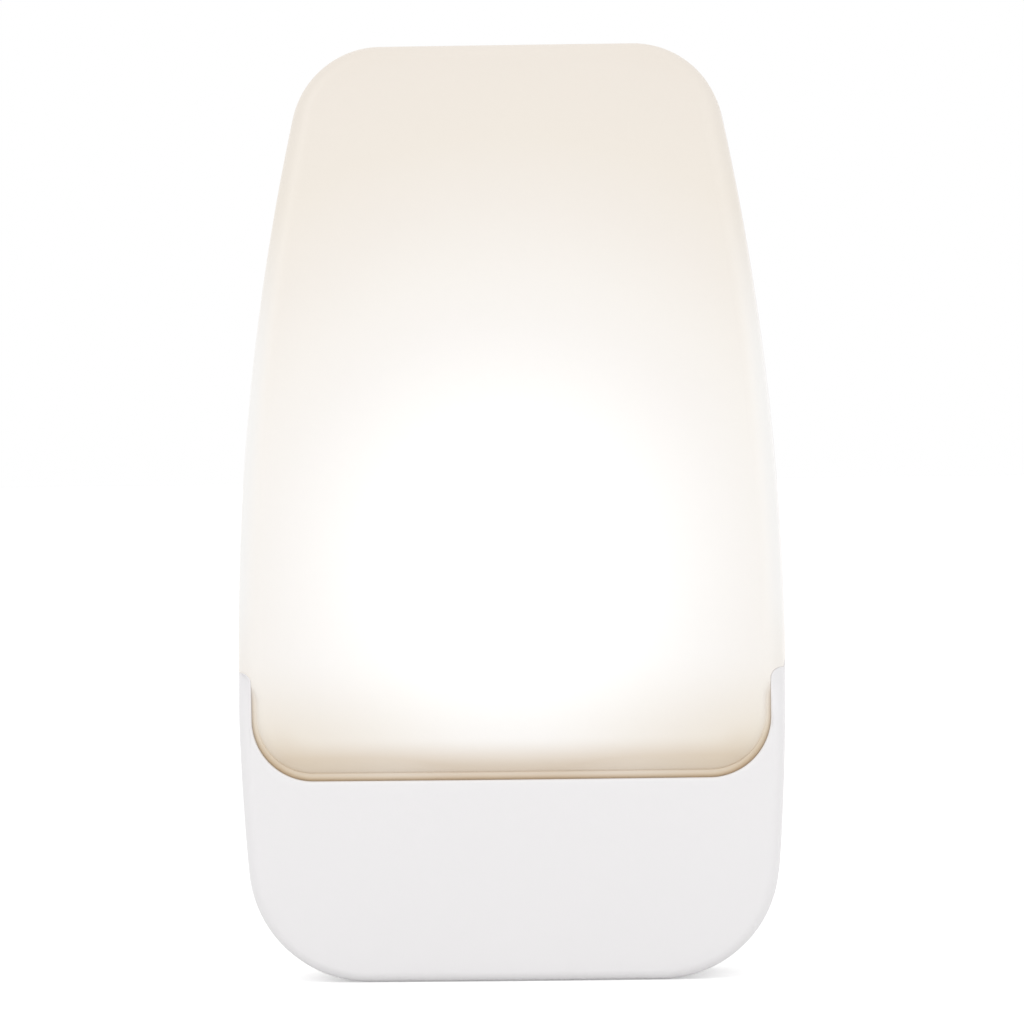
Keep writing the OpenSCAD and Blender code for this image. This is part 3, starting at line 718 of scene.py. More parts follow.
def bevelled_box(low, high, bevel, segments=2):
    """A box with its edges rounded over, between two corners."""
    work = bmesh.new()
    bmesh.ops.create_cube(work, size=1)
    low, high = Vector(low), Vector(high)
    bmesh.ops.scale(work, vec=high - low, verts=work.verts)
    bmesh.ops.translate(work, vec=(low + high) / 2, verts=work.verts)
    edges = work.edges[:]
    bmesh.ops.bevel(work, geom=edges, offset=bevel, segments=segments, profile=0.5, affect="EDGES")
    bmesh.ops.scale(work, vec=(MM, MM, MM), verts=work.verts)
    return mesh_of(work)


def lofted(outline, stations, base=0):
    """A closed body through copies of an outline, each (how far in, distance from the base).

    outline(inset) gives the points, and stations run from the wall side forward.
    """
    skin = Skin()
    skin.loft([Point(u, -base - depth, v) for u, v in outline(inset)] for inset, depth in stations)
    return smoothed(skin.mesh())


def in_row(name, mesh, material, count, place, spacing, tree=None, values=None):
    """An object with that many copies of a mesh in a row."""
    inputs = {
        "Count": count, "Place": [n * MM for n in place], "Spacing": [n * MM for n in spacing],
        **(values or {}),
    }
    return worked(linked(name, mesh), tree or row_tree(), material, inputs)


def at_points(name, mesh, material, points):
    """An object with a copy of a mesh at each point."""
    skin = Skin()
    skin.ring(points)
    pattern = linked("pattern", mesh)
    obj = worked(linked(name, skin.mesh()), scatter_tree(), material, {"Piece": pattern})
    bpy.data.objects.remove(pattern)
    bpy.data.meshes.remove(mesh)
    return obj


def wires(name, lines, diameter, material, sides=12):
    """An object with a round wire along each line of points."""
    skin = Skin()
    edges = []
    for line in lines:
        indices = skin.ring(line)
        edges += zip(indices, indices[1:])
    paths = bpy.data.meshes.new(name)
    paths.from_pydata([Vector(p) * MM for p in skin.points], edges, [])
    values = {"Diameter": diameter * MM, "Sides": sides}
    return worked(linked(name, paths), wire_tree(), material, values)


def surface_of(name):
    """The material of that name. Its operator makes it first."""
    found = bpy.data.materials.get(name)
    if found is None:
        raise RuntimeError(f"the material {name} is made before the pieces that wear it")
    return found


def finished(obj, material, nodes=(), slot=None):
    """Gives a piece its material, and says what it rides on and stands for."""
    obj.data.name = obj.name
    obj.data.materials.clear()
    obj.data.materials.append(surface_of(material))
    if nodes:
        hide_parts(*nodes)
    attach(obj, BODY)


def piece(name, mesh, material, nodes=(), slot=None):
    """A finished piece of one mesh."""
    finished(linked(name, mesh), material, nodes, slot)


# ---------- Outline and front ----------

# A place on an outline: where it faces, the edge round there, its share of the ledge, and
# how far in from the body's side it lies
Spot = namedtuple("Spot", "x z out_x out_z edge ledge inside", defaults=(0.0, 0.0, 0.0))


def arc(x, z, radius, start, end, steps, edge=0.0, first=0):
    """Spots along an arc, from one angle to another in degrees."""
    spots = []
    for i in range(first, steps + 1):
        a = math.radians(start + (end - start) * i / steps)
        out_x, out_z = math.cos(a), math.sin(a)
        spots.append(Spot(x + radius * out_x, z + radius * out_z, out_x, out_z, edge))
    return spots


def bowed_side(width, bow, widest, low, high, edge):
    """The right-hand side of an outline, from the bottom edge to the top edge.

    low and high are (height, corner radius).
    """
    centre = width / 2 - bow
    a0 = math.asin((low[0] + low[1] - widest) / (bow - low[1]))
    a1 = math.asin((high[0] - high[1] - widest) / (bow - high[1]))
    d0, d1 = math.degrees(a0), math.degrees(a1)
    low_x = centre + (bow - low[1]) * math.cos(a0)
    high_x = centre + (bow - high[1]) * math.cos(a1)
    return (
        arc(low_x, low[0] + low[1], low[1], -90, d0, CORNER_STEPS, edge)
        + arc(centre, widest, bow, d0, d1, SIDE_STEPS, edge, 1)
        + arc(high_x, high[0] - high[1], high[1], d1, 90, CORNER_STEPS, edge, 1)
    )


def ring_of(side):
    """A whole ring from its right side: up the right, the top, down the left, the bottom."""
    def strip(spot, k):
        t = 1 - 2 * k / STRIPS
        return spot._replace(x=spot.x * t, out_x=spot.out_x * t)

    return (
        side
        + [strip(side[-1], k) for k in range(1, STRIPS)]
        + [strip(spot, STRIPS) for spot in reversed(side)]
        + [strip(side[0], k) for k in range(STRIPS - 1, 0, -1)]
    )


def moved_in(spot, inset):
    return spot.x - inset * spot.out_x, spot.z - inset * spot.out_z


def outline_normals(ring):
    """The outward direction of a closed ring at each of its spots."""
    found = []
    for before, after in zip(ring[-1:] + ring[:-1], ring[1:] + ring[:1]):
        x, z = after.z - before.z, before.x - after.x
        size = math.hypot(x, z)
        found.append((x / size, z / size))
    return found


def placed(spot, inset, depth):
    """A point that far in from a spot, at that distance from the wall."""
    x, z = moved_in(spot, inset)
    return Point(x, -depth, z)


def level(ring, inset, depth):
    """A ring at one distance from the wall."""
    return [placed(spot, inset, depth) for spot in ring]


class Measured:
    """The lengths in a group of settings, in millimetres."""

    def __init__(self, sizes):
        for item in sizes.bl_rna.properties:
            if getattr(item, "unit", None) == "LENGTH":
                setattr(self, item.identifier, getattr(sizes, item.identifier) / MM)


class Casing(Measured):
    """What the cover, the diffuser and the rear housing share."""

    def __init__(self, settings):
        super().__init__(settings.casing)
        self.half = self.width / 2
        self.high = self.low + self.height
        # The round along the parting line, as (how far in, how far from that line)
        r = self.rim_round
        self.rim_line = ((r, 0), (r * 0.3, r * 0.3), (0, r))

    def half_width(self, z):
        drop = z - self.widest
        return self.half - self.side_radius + math.sqrt(self.side_radius**2 - drop**2)

    def side_angle(self, z):
        return math.asin((z - self.widest) / self.side_radius)

    def front(self, x, z):
        """Distance from the wall to the front, which is crowned both ways."""
        rise = z - self.crown_height
        return (
            self.depth
            - (self.crown_up - math.sqrt(self.crown_up**2 - rise**2))
            - (self.crown_across - math.sqrt(self.crown_across**2 - x * x))
        )

    def tilt(self, spot):
        """How steeply the front falls away towards a spot of the edge."""
        return math.atan(self.front(*moved_in(spot, 1)) - self.front(spot.x, spot.z))

    def body_side(self, edge):
        low, high = (self.low, self.low_corner), (self.high, self.top_corner)
        return bowed_side(self.width, self.side_radius, self.widest, low, high, edge)

    def side_spot(self, z, edge):
        a = self.side_angle(z)
        return Spot(self.half_width(z), z, math.cos(a), math.sin(a), edge)

    def round_point(self, spot, wall, part, radius, base, start=0.0):
        """A point on a round that starts base in from a spot.

        part runs from 0 at its start to 1, where it meets a front that lies wall behind
        the outer one.
        """
        tilt = self.tilt(spot)
        turn = start + part * (math.pi / 2 - tilt - start)
        foot = moved_in(spot, base + radius * (1 - math.sin(tilt)))
        x, z = moved_in(spot, base + radius * (1 - math.cos(turn)))
        return Point(x, wall + radius * (math.cos(tilt) - math.sin(turn)), z, 1.0, *foot)

    def edge_point(self, spot, part):
        """A point of the outer edge round, flush with the body's side."""
        start = math.acos(1 - spot.inside / spot.edge)
        return self.round_point(spot, 0, part, spot.edge, -spot.inside, start)

    def crowned(self, name, skin, material):
        """An object whose front the tree has brought forward onto the crown."""
        values = {
            "Depth": self.depth * MM,
            "Crown upright": self.crown_up * MM,
            "Crown across": self.crown_across * MM,
            "Proudest height": self.crown_height * MM,
        }
        return worked(linked(name, skin.crown_mesh()), crown_tree(), material, values)


def cap(skin, ring, rows, inner):
    """Closes a ring with a grid of quads. inner(x, z) gives its points."""
    grid = []
    points = [skin.points[i] for i in ring]
    for i in range(rows + 1):
        if i == 0:
            line = [ring[0]] + [ring[-k] for k in range(1, STRIPS)] + [ring[2 * rows + STRIPS]]
        elif i == rows:
            line = [ring[rows + k] for k in range(STRIPS + 1)]
        else:
            x, z = points[i].x, points[i].z
            spread = [x * (1 - 2 * k / STRIPS) for k in range(1, STRIPS)]
            line = [ring[i]] + skin.ring([inner(s, z) for s in spread])
            line.append(ring[2 * rows + STRIPS - i])
        grid.append(line)
    for low, high in zip(grid, grid[1:]):
        skin.join(low, high, closed=False)


def mark_rim(mesh, ring):
    """Stores what the nearest spot of an outline says of each point.

    rim is how far the point lies in from it in millimetres, under is 1 where the outline
    faces down, and ledge is its share of the ledge.
    """
    tree = KDTree(len(ring))
    for i, spot in enumerate(ring):
        tree.insert((spot.x, spot.z, 0), i)
    tree.balance()
    rim, under, ledge = [], [], []
    for vertex in mesh.vertices:
        _, nearest, reach = tree.find((vertex.co.x / MM, vertex.co.z / MM, 0))
        rim.append(reach)
        under.append(max(-ring[nearest].out_z, 0))
        ledge.append(ring[nearest].ledge)
    for name, values in (("rim", rim), ("under", under), ("ledge", ledge)):
        mesh.attributes.new(name, "FLOAT", "POINT").data.foreach_set("value", values)


# ---------- Layout of the inside ----------

# Screws and posts, (across, up), and the plates inside, in distance from the wall
SCREW_COLUMN = (17.5, -8)
BOARD_SCREW = (16, 33)
BOARD_PEG = (9, -11.5)
REFLECTOR_POSTS = ((23.5, 20), (21, 48), (16.5, 72))
RETAINER_SCREW_Z = 6
BOARD_BACK, BOARD_FRONT = 10.6, 12.2
REFLECTOR_BACK, REFLECTOR_FRONT = 13.4, 14.4
RETAINER_BACK, RETAINER_FRONT = 4.2, 6.2

# The diffuser's snap hooks, and the room that the other pieces leave them on each side
HOOK_X, HOOK_WIDTH, HOOK_ROOM = 9, 6, 0.3

LEAD = 0.6
LEAD_HOLE = 1
LEAD_END = 9.6
WIRE = 1.7
TRACK_PITCH = 2.54

# Places of the parts on the board, (across, up), with the length of each body that lies
# along X and the distance between its leads
FILM_AT, FILM_SPAN = (-5.7, -0.45), 10
ELECTROLYTIC_AT, ELECTROLYTIC_SPAN = (6.2, -2.1), 3.5
RECTIFIER_AT = (-9.5, -7.2)
FUSIBLE_AT, FUSIBLE_LONG, FUSIBLE_SPAN = (6.6, -8.9), 6.5, 10
BLEEDER_AT, BLEEDER_LONG, BLEEDER_SPAN = (-3, -6.2), 3.6, 5.6
ZENER_AT, ZENER_LONG, ZENER_SPAN = (15, 0.4), 4.2, 7.5
TRANSISTOR_AT, TRANSISTOR_PITCH = (-4.2, -11.2), 1.27
PHOTOCELL_LEADS = (1.3, -12.5)
WIRE_AT = (12, 12.5)
CHIPS_AT = ((-12, 20), (0, 18), (12, 20), (-6, 31))


def pair(at, span):
    return [(at[0] - span / 2, at[1]), (at[0] + span / 2, at[1])]


LEAD_HOLES = (
    pair(FILM_AT, FILM_SPAN)
    + pair(ELECTROLYTIC_AT, ELECTROLYTIC_SPAN)
    + pair(FUSIBLE_AT, FUSIBLE_SPAN)
    + pair(BLEEDER_AT, BLEEDER_SPAN)
    + pair(ZENER_AT, ZENER_SPAN)
    + [(TRANSISTOR_AT[0] + i * TRANSISTOR_PITCH, TRANSISTOR_AT[1]) for i in (-1, 0, 1)]
    + pair((0, PHOTOCELL_LEADS[1]), 2 * PHOTOCELL_LEADS[0])
)


# ---------- Finishes ----------


class NIGHTLIGHT_OT_finishes(bpy.types.Operator):
    """Makes the materials of the casing, the plug and the electronics"""

    bl_idname = "night_light.finishes"
    bl_label = "Materials"

    def execute(self, context):
        settings = context.scene.night_light
        colours, light = settings.finishes, Measured(settings.light)
        # name, colour, size of the grain, roughness
        for finish in (
            ("satin_white", colours.cover, 0.30, 0.40),
            ("housing_white", colours.housing, 0.55, 0.52),
            ("retainer_white", (0.80, 0.79, 0.76), 0.25, 0.50),
            ("reflector_white", (0.90, 0.90, 0.88), 0.20, 0.30),
            ("led_white", (0.90, 0.89, 0.84), 0.08, 0.42),
            ("capacitor_box", (0.75, 0.52, 0.09), 0.15, 0.32),
            ("moulded_epoxy", (0.028, 0.028, 0.030), 0.12, 0.55),
            ("chip_ceramic", (0.07, 0.07, 0.08), 0.06, 0.38),
            ("black_insulation", (0.022, 0.022, 0.024), 0.35, 0.42),
            ("white_insulation", (0.80, 0.80, 0.77), 0.35, 0.42),
        ):
            moulded(*finish)
        lit_diffuser(colours, light.height)
        # name, colour, roughness, how much finer the marks are along Z
        for finish in (
            ("nickel_plate", colours.metal, 0.24, 30),
            ("zinc_plate", colours.zinc, 0.32, 8),
            ("tinned_copper", (0.74, 0.73, 0.70), 0.26, 3),
            ("solder", (0.70, 0.70, 0.71), 0.22, 1),
            ("aluminium", (0.80, 0.80, 0.81), 0.30, 20),
        ):
            plated_metal(*finish)
        solder_mask(colours.board)
        phosphor(settings.light.glow)
        capacitor_sleeve()
        cream, red, black, gold = (0.62, 0.55, 0.4), (0.5, 0.06, 0.03), (0.03, 0.03, 0.03), (0.6, 0.42, 0.1)
        lacquer("fusible_coating", (0.20, 0.38, 0.29), FUSIBLE_AT, FUSIBLE_LONG, (cream, black, gold, black))
        lacquer("resistor_coating", (0.64, 0.51, 0.33), BLEEDER_AT, BLEEDER_LONG, (cream, red, black, gold))
        diode_glass()
        photocell_ceramic(light.window_place)
        window_plastic()
        return {"FINISHED"}


def moulded(name, base, grain, roughness):
    """Moulded plastic with a spark-eroded grain."""
    m = Finish(name)
    cloud, patch = m.noise(22, 3), m.noise(4, 2)
    fine, pits = m.noise(grain, 2, 0.6), m.cells(grain * 1.6)
    tone = m.scaled(tuple(base), 0.992 + 0.012 * cloud + 0.004 * patch)
    rough = roughness - 0.05 + 0.08 * patch + 0.04 * fine
    return m.done(tone, rough, m.bump(0.7 * fine + 0.3 * pits, 0.012, 0.5))


def lit_diffuser(colours, light_z):
    """Milky plastic with the light source's light painted in: a painted pool of light, brightest in front of
    the light source, and painted shade that turns it amber at its foot, where it is thick, and darker in the
    groove along the seam.
    """
    m = Finish("lit_diffuser")
    x, _, z = m.position()
    rise = z - light_z
    reach = (x * x * 1.1 + rise * rise).root()
    # A painted pool of light: brightest in front of the light source, falling off through cream to darker
    # far from it
    spread = m.ramp(
        reach / 64,
        (
            (0.0, tuple(colours.glow)),
            (0.24, (0.995, 0.985, 0.968)),
            (0.40, (0.973, 0.945, 0.915)),
            (0.52, (0.945, 0.908, 0.860)),
            (0.64, (0.903, 0.852, 0.790)),
            (0.76, tuple(colours.cream)),
            (0.90, (0.860, 0.796, 0.720)),
            (1.0, (0.835, 0.765, 0.685)),
        ),
    )
    rim, under, ledge = (m.attribute(name) for name in ("rim", "under", "ledge"))
    # Painted highlight: a whiter band along the upper sides, just in from the edge
    beside = (1 - rim.step(0.3, 2.2)) * z.step(15, 24) * (1 - z.step(45, 68))
    spread = m.blend(0.7 * beside, spread, (0.985, 0.982, 0.972))
    # Painted shade: darker and browner towards the bottom, below 17 mm, and more so towards the sides
    low_painted_shade = m.blend(abs(x).step(0, 28), (0.93, 0.92, 0.91), (0.89, 0.84, 0.755))
    spread = m.blend(1 - z.step(3, 17), spread, m.blend(1.0, spread, low_painted_shade, "MULTIPLY"))
    # Painted shade at the foot of the dome, near the edge where it faces down and fainter away from the
    # middle, where the thick plastic lets less light through
    foot = ((1 - rim.step(0.9, 4.8)) * under * under).least(1 - 0.34 * abs(x).step(4, 15))
    tint = m.blend(foot, (1, 1, 1), tuple(colours.foot))
    # Painted shade in the groove along the seam with the cover: darkest at the seam, reaching further in at
    # the notch's corners and fading up the sides
    corner = 4 * under * (1 - under)
    groove = ((0.0, (0.72, 0.63, 0.52)), (0.13, (0.80, 0.73, 0.63)), (0.35, (0.96, 0.93, 0.88)))
    bead = m.ramp(rim * (1 - 0.35 * corner), (*groove, (0.50, (1, 1, 1))))
    strength = ledge * (1 - 0.6 * z.step(5, 13))
    tint = m.blend(strength, tint, m.blend(1.0, tint, bead, "MULTIPLY"))
    lit = m.blend(1.0, spread, tint, "MULTIPLY")
    # The painted colour also glows, brighter in front of the light source, so the diffuser gives off painted
    # light
    hot = 1 - reach.step(8, 30)
    fine, cloud = m.noise(0.22, 2, 0.6), m.noise(9, 2)
    glow = {"Emission Color": m.scaled(lit, 0.17 + 0.12 * hot), "Emission Strength": 1.0}
    rough = 0.36 + 0.05 * cloud + 0.04 * fine
    return m.done(m.scaled(lit, 0.775 + 0.008 * cloud), rough, m.bump(fine, 0.01, 0.35), 1.49, glow)


def plated_metal(name, base, roughness, stretch):
    """Plated metal with fine rolling marks and faint handling wear."""
    m = Finish(name)
    marks, wear = m.noise(0.9, 3, 0.6, (1, 1, stretch)), m.noise(2.6, 4, 0.6)
    tone = m.scaled(tuple(base), 0.93 + 0.1 * marks)
    rough = roughness - 0.06 + 0.1 * marks + 0.08 * wear
    return m.done(tone, rough, m.bump(marks, 0.004, 0.4), others={"Metallic": 1.0})


def solder_mask(base):
    """Green lacquer over copper areas, with white outlines of the parts and tan cut edges."""
    m = Finish("solder_mask")
    x, y, z = m.position()

    def line(distance):
        return 1 - abs(distance).step(0.07, 0.11)

    def box(at, width, height):
        return line((abs(x - at[0]) - width / 2).most(abs(z - at[1]) - height / 2))

    def circle(at, radius):
        across, up = x - at[0], z - at[1]
        return line((across * across + up * up).root() - radius)

    ink = circle(ELECTROLYTIC_AT, 4.2).most(circle(TRANSISTOR_AT, 2.6))
    outlined = [(FILM_AT, 13.4, 5.9), (RECTIFIER_AT, 5, 4.2), (FUSIBLE_AT, 6.9, 2.9)]
    outlined += [(BLEEDER_AT, 4, 2.2), (ZENER_AT, 4.6, 2.4)] + [(at, 2.9, 1.9) for at in CHIPS_AT]
    for at, width, height in outlined:
        ink = ink.most(box(at, width, height))
    upright = (((x / 10).floor() + (z / 8).floor()) / 2).fraction().step(0.2, 0.3)
    rows, columns = (1 - abs((n / TRACK_PITCH).fraction() - 0.5).step(0.10, 0.13) for n in (z, x))
    under_lights = 1 - abs(z - 25).step(8, 8.1)
    copper = (rows * upright + columns * (1 - upright)).most(under_lights)
    cloud, weave = m.noise(9, 2), m.noise(0.35, 2, 0.7, (1, 1, 3))
    mask = m.scaled(tuple(base), 0.85 + 0.4 * copper + 0.15 * cloud)
    face = m.blend(ink, mask, (0.82, 0.82, 0.79))
    middle, half = (BOARD_BACK + BOARD_FRONT) / 2, (BOARD_FRONT - BOARD_BACK) / 2
    edge = 1 - abs(y + middle).step(half - 0.05, half - 0.02)
    laminate = m.scaled((0.52, 0.44, 0.20), 0.75 + 0.4 * weave)
    height = 0.6 * copper + 0.25 * ink + 0.15 * weave
    rough = 0.30 + 0.30 * edge + 0.1 * cloud + 0.15 * ink
    return m.done(m.blend(edge, face, laminate), rough, m.bump(height, 0.035, 0.7), 1.55)


def phosphor(strength):
    """Yellow silicone with its grains, glowing."""
    m = Finish("phosphor")
    grain, cloud = m.noise(0.07, 3, 0.7), m.noise(0.6, 2)
    base = m.scaled(m.blend(cloud, (0.95, 0.76, 0.25), (0.93, 0.82, 0.38)), 0.92 + 0.12 * grain)
    glow = m.scaled((1.0, 0.88, 0.62), 0.8 + 0.2 * grain)
    glow = {"Emission Color": glow, "Emission Strength": strength}
    return m.done(base, 0.25 + 0.1 * grain, m.bump(grain, 0.01, 0.5), 1.45, glow)


def capacitor_sleeve():
    """Dark shrink sleeve with a pale stripe of minus bars down one side."""
    m = Finish("capacitor_sleeve")
    x, y, z = m.position()
    across, up = x - ELECTROLYTIC_AT[0], z - ELECTROLYTIC_AT[1]
    stripe = across.step(3.35, 3.4) * (1 - y.step(-15, -14.9))
    bar = (1 - abs(up).step(0.9, 1)) * (1 - abs((y / 2.6).fraction() - 0.5).step(0.12, 0.16))
    wrinkle = m.noise(1.8, 2, 0.5, (1, 0.4, 1))
    dark = m.scaled((0.045, 0.06, 0.15), 0.85 + 0.3 * wrinkle)
    pale = m.blend(bar, (0.50, 0.52, 0.58), (0.06, 0.07, 0.14))
    return m.done(m.blend(stripe, dark, pale), 0.26 + 0.12 * wrinkle, m.bump(wrinkle, 0.05, 0.5))


def lacquer(name, base, at, long, bands):
    """Resistor lacquer with colour bands round it."""
    m = Finish(name)
    x = m.position()[0]
    drip = m.noise(0.9, 2)
    along = (x - at[0]) / long + 0.03 * (drip - 0.5)
    face = m.scaled(base, 0.9 + 0.18 * drip)
    paint = 0
    for place, tint in zip((-0.3, -0.13, 0.04, 0.27), bands):
        band = 1 - abs(along - place).step(0.035, 0.045)
        face = m.blend(band, face, tint)
        paint = band + paint
    return m.done(face, 0.34 + 0.1 * drip, m.bump(0.6 * drip + 0.4 * paint, 0.04, 0.6))


def diode_glass():
    """Amber glass with a black band at one end."""
    m = Finish("diode_glass")
    x = m.position()[0] - ZENER_AT[0]
    swirl = m.noise(0.8, 3)
    band = x.step(0.78, 0.82) * (1 - x.step(1.42, 1.46))
    inside = m.blend(abs(x).step(1.0, 1.3), (0.70, 0.17, 0.05), (0.42, 0.20, 0.10))
    face = m.blend(band, m.scaled(inside, 0.8 + 0.4 * swirl), (0.02, 0.02, 0.02))
    rough = 0.08 + 0.3 * band + 0.04 * swirl
    return m.done(face, rough, m.bump(band, 0.02, 0.6), others={"Coat Weight": 0.9 - 0.7 * band})


def photocell_ceramic(depth):
    """Sintered face with the snaking gap between its two electrodes."""
    m = Finish("photocell_ceramic")
    x, y, _ = m.position()
    pitch, reach = 0.62, 1.45
    row = (y + depth) / pitch + 20
    place = row.fraction() - 0.5
    swap = (row.floor() / 2).fraction() * -4 + 1
    side = (place * swap).step(-0.001, 0.001) * 2 - 1
    straight = abs(place) * pitch + abs(x).step(reach - 0.05, reach) * 9
    turn = abs(x - side * reach)
    track = 1 - straight.least(turn).step(0.10, 0.14)
    radius = (x * x + (y + depth) * (y + depth)).root()
    track = track * (1 - radius.step(2.05, 2.1))
    grain = m.noise(0.12, 3, 0.65)
    face = m.blend(track, (0.66, 0.56, 0.44), (0.50, 0.13, 0.03))
    face = m.blend(radius.step(2.2, 2.3), face, (0.55, 0.30, 0.16))
    face = m.scaled(face, 0.85 + 0.3 * grain)
    coat = {"Coat Weight": 0.5 + 0.2 * grain}
    return m.done(face, 0.30 + 0.15 * grain, m.bump(track + grain * 0.4, 0.02, 0.6), others=coat)


def window_plastic():
    """Clear, slightly smoked plastic."""
    m = Finish("window_plastic")
    flow = m.noise(2.4, 2)
    tone = m.scaled((0.66, 0.72, 0.76), 0.94 + 0.1 * flow)
    return m.done(tone, 0.05 + 0.05 * flow, m.bump(flow, 0.01, 0.4), 1.49, {"Transmission Weight": 0.9})


# ---------- Casing ----------


def clamped(value):
    return min(max(value, 0), 1)


def eased(value):
    """0 up to 0 and 1 from 1 on, smooth in between."""
    part = clamped(value)
    return part * part * (3 - 2 * part)


class NIGHTLIGHT_OT_front_cover(bpy.types.Operator):
    """Builds the front cover with its notch and its two side prongs"""

    bl_idname = "night_light.front_cover"
    bl_label = "Front cover"

    def execute(self, context):
        cover = CoverShape(context.scene.night_light)
        obj = cover.casing.crowned("cover_shell", cover.skin(), "satin_white")
        cover.add_bosses(obj)
        finished(obj, "satin_white", ["front_cover"], "cover_plastic")
        return {"FINISHED"}


class CoverShape(Measured):
    """The cover as a U of closed sections, from the right prong's tip to the left one's."""

    tip_steps = 9
    prong_steps = 10
    corner_steps = 44
    base_steps = 22
    face_steps = 18
    # The rows of points behind the edge round, and the breaks and rounds of lesser edges
    side_rows = (6, 2.5, 0.6)
    tip_break = 0.1
    notch_break = 0.12
    inner_round = 0.4

    def __init__(self, settings):
        super().__init__(settings.cover)
        self.casing = Casing(settings)
        self.light = Measured(settings.light)
        self.tip_edge = Measured(settings.diffuser).side
        self.notch_half = self.casing.half - self.wall
        self.tip_x = self.notch_half + self.tip
        self.shoulder = self.tip_height - self.tip
        self.corner_z = self.notch + self.notch_corner

    def stations(self):
        """(outer spot, notch spot, how far the tip's round sets the front back)."""
        body = self.casing
        found = []
        for i in range(self.tip_steps, 0, -1):
            a = math.pi / 2 * i / self.tip_steps
            z = self.shoulder + self.tip * math.sin(a)
            notch = Spot(self.tip_x - self.tip * math.cos(a), z, 1, 0)
            high = max(0, (z - self.tip_height + self.tip_break) / self.tip_break)
            setback = self.tip_break * (1 - math.sqrt(1 - high**2))
            found.append((body.side_spot(z, self.edge_at(z)), notch, setback))
        for i in range(self.prong_steps + 1):
            z = self.shoulder + (self.corner_z - self.shoulder) * i / self.prong_steps
            found.append((body.side_spot(z, self.edge_at(z)), Spot(self.notch_half, z, 1, 0), 0))
        outline = body.body_side(self.edge)
        below = [spot for spot in reversed(outline) if spot.z < self.corner_z]
        path = walked([body.side_spot(self.corner_z, self.edge)] + below, self.corner_steps)
        centre = self.notch_half - self.notch_corner
        inner = arc(centre, self.corner_z, self.notch_corner, 0, -90, self.corner_steps)
        found += [(path[i], inner[i], 0) for i in range(1, self.corner_steps + 1)]
        low = outline[0]
        for i in range(1, self.base_steps + 1):
            t = 1 - i / self.base_steps
            found.append((low._replace(x=low.x * t), Spot(centre * t, self.notch, 0, -1), 0))
        return found

    def edge_at(self, z):
        """The edge round grows up each prong until it matches the diffuser's above."""
        share = eased((z - self.corner_z) / (self.shoulder - self.corner_z))
        return self.edge + (self.tip_edge - self.edge) * share

    def section(self, outer, notch, setback):
        """One closed section, from the rim forward, across the front and back inside."""
        body = self.casing
        tilt = body.tilt(outer)
        width = math.hypot(outer.x - notch.x, outer.z - notch.z)
        fade = (outer.edge - self.edge) / (self.tip_edge - self.edge)
        notch_round = min(self.notch_round * (1 - 0.65 * fade), 0.2 * width)
        round_end = outer.edge * (1 - math.sin(tilt))
        reach = min(round_end, (width - notch_round) * 0.97)
        side = body.edge_point(outer, 0)
        loop = [placed(outer, inset, body.seam + off) for inset, off in body.rim_line]
        loop += [side._replace(y=side.y + back) for back in self.side_rows]
        turn_end = math.acos(1 - reach / outer.edge)
        for j in range(ROUND_STEPS + 1):
            turn = turn_end * j / ROUND_STEPS
            x, z = moved_in(outer, outer.edge * (1 - math.cos(turn)))
            y = outer.edge * (math.cos(tilt) - math.sin(turn))
            loop.append(Point(x, y, z, 1.0, side.foot_x, side.foot_z))
        start = loop[-1]
        end_x, end_z = moved_in(notch, -notch_round)
        for k in range(1, self.face_steps + 1):
            t = k / self.face_steps
            x, z = start.x + (end_x - start.x) * t, start.z + (end_z - start.z) * t
            loop.append(self.on_front(x, z, start, round_end, outer))
        last = loop[-1]
        for j in range(1, 7):
            a = math.pi / 2 * j / 6
            x, z = moved_in(notch, -notch_round * (1 - math.sin(a)))
            loop.append(last._replace(x=x, z=z, y=last.y + notch_round * (1 - math.cos(a))))
        edge = loop[-1]
        loop = [p._replace(y=p.y + setback) if p.share else p for p in loop]
        inner = min(self.wall, width - 0.03) if notch.out_x == 1 else self.wall
        inner_round = min(self.inner_round, 0.5 * (width - inner))
        loop.append(edge._replace(y=self.wall - self.notch_break + setback))
        in_x, in_z = moved_in(outer, inner + inner_round)
        span_x, span_z = in_x - notch.x, in_z - notch.z
        for t in (0.02, 0.3, 0.6, 0.98):
            x, z = notch.x + span_x * t, notch.z + span_z * t
            loop.append(Point(x, self.wall, z, 1.0, x, z))
        for j in range(1, 4):
            a = math.pi / 2 * j / 3
            x, z = moved_in(outer, inner + inner_round * (1 - math.sin(a)))
            y = self.wall + inner_round * (1 - math.cos(a))
            loop.append(Point(x, y, z, 1.0, in_x, in_z))
        loop += [placed(outer, inner, body.seam + ahead) for ahead in (6, 0.1)]
        return loop + [placed(outer, inner - 0.1, body.seam)]

    def on_front(self, x, z, start, round_end, outer):
        """A point of the front, or of the edge round where the prong is narrower than it."""
        inset = (outer.x - x) * outer.out_x + (outer.z - z) * outer.out_z
        if inset >= round_end or outer.out_x < 0.99:
            return Point(x, 0, z, 1.0, x, z)
        turn = math.acos(1 - inset / outer.edge)
        y = outer.edge * (math.cos(self.casing.tilt(outer)) - math.sin(turn))
        return Point(x, y, z, 1.0, start.foot_x, start.foot_z)

    def skin(self):
        half = self.stations()
        stations = half + [(mirrored(a), mirrored(b), setback) for a, b, setback in half[-2::-1]]
        skin = Skin()
        skin.loft(self.section(*station) for station in stations)
        return skin

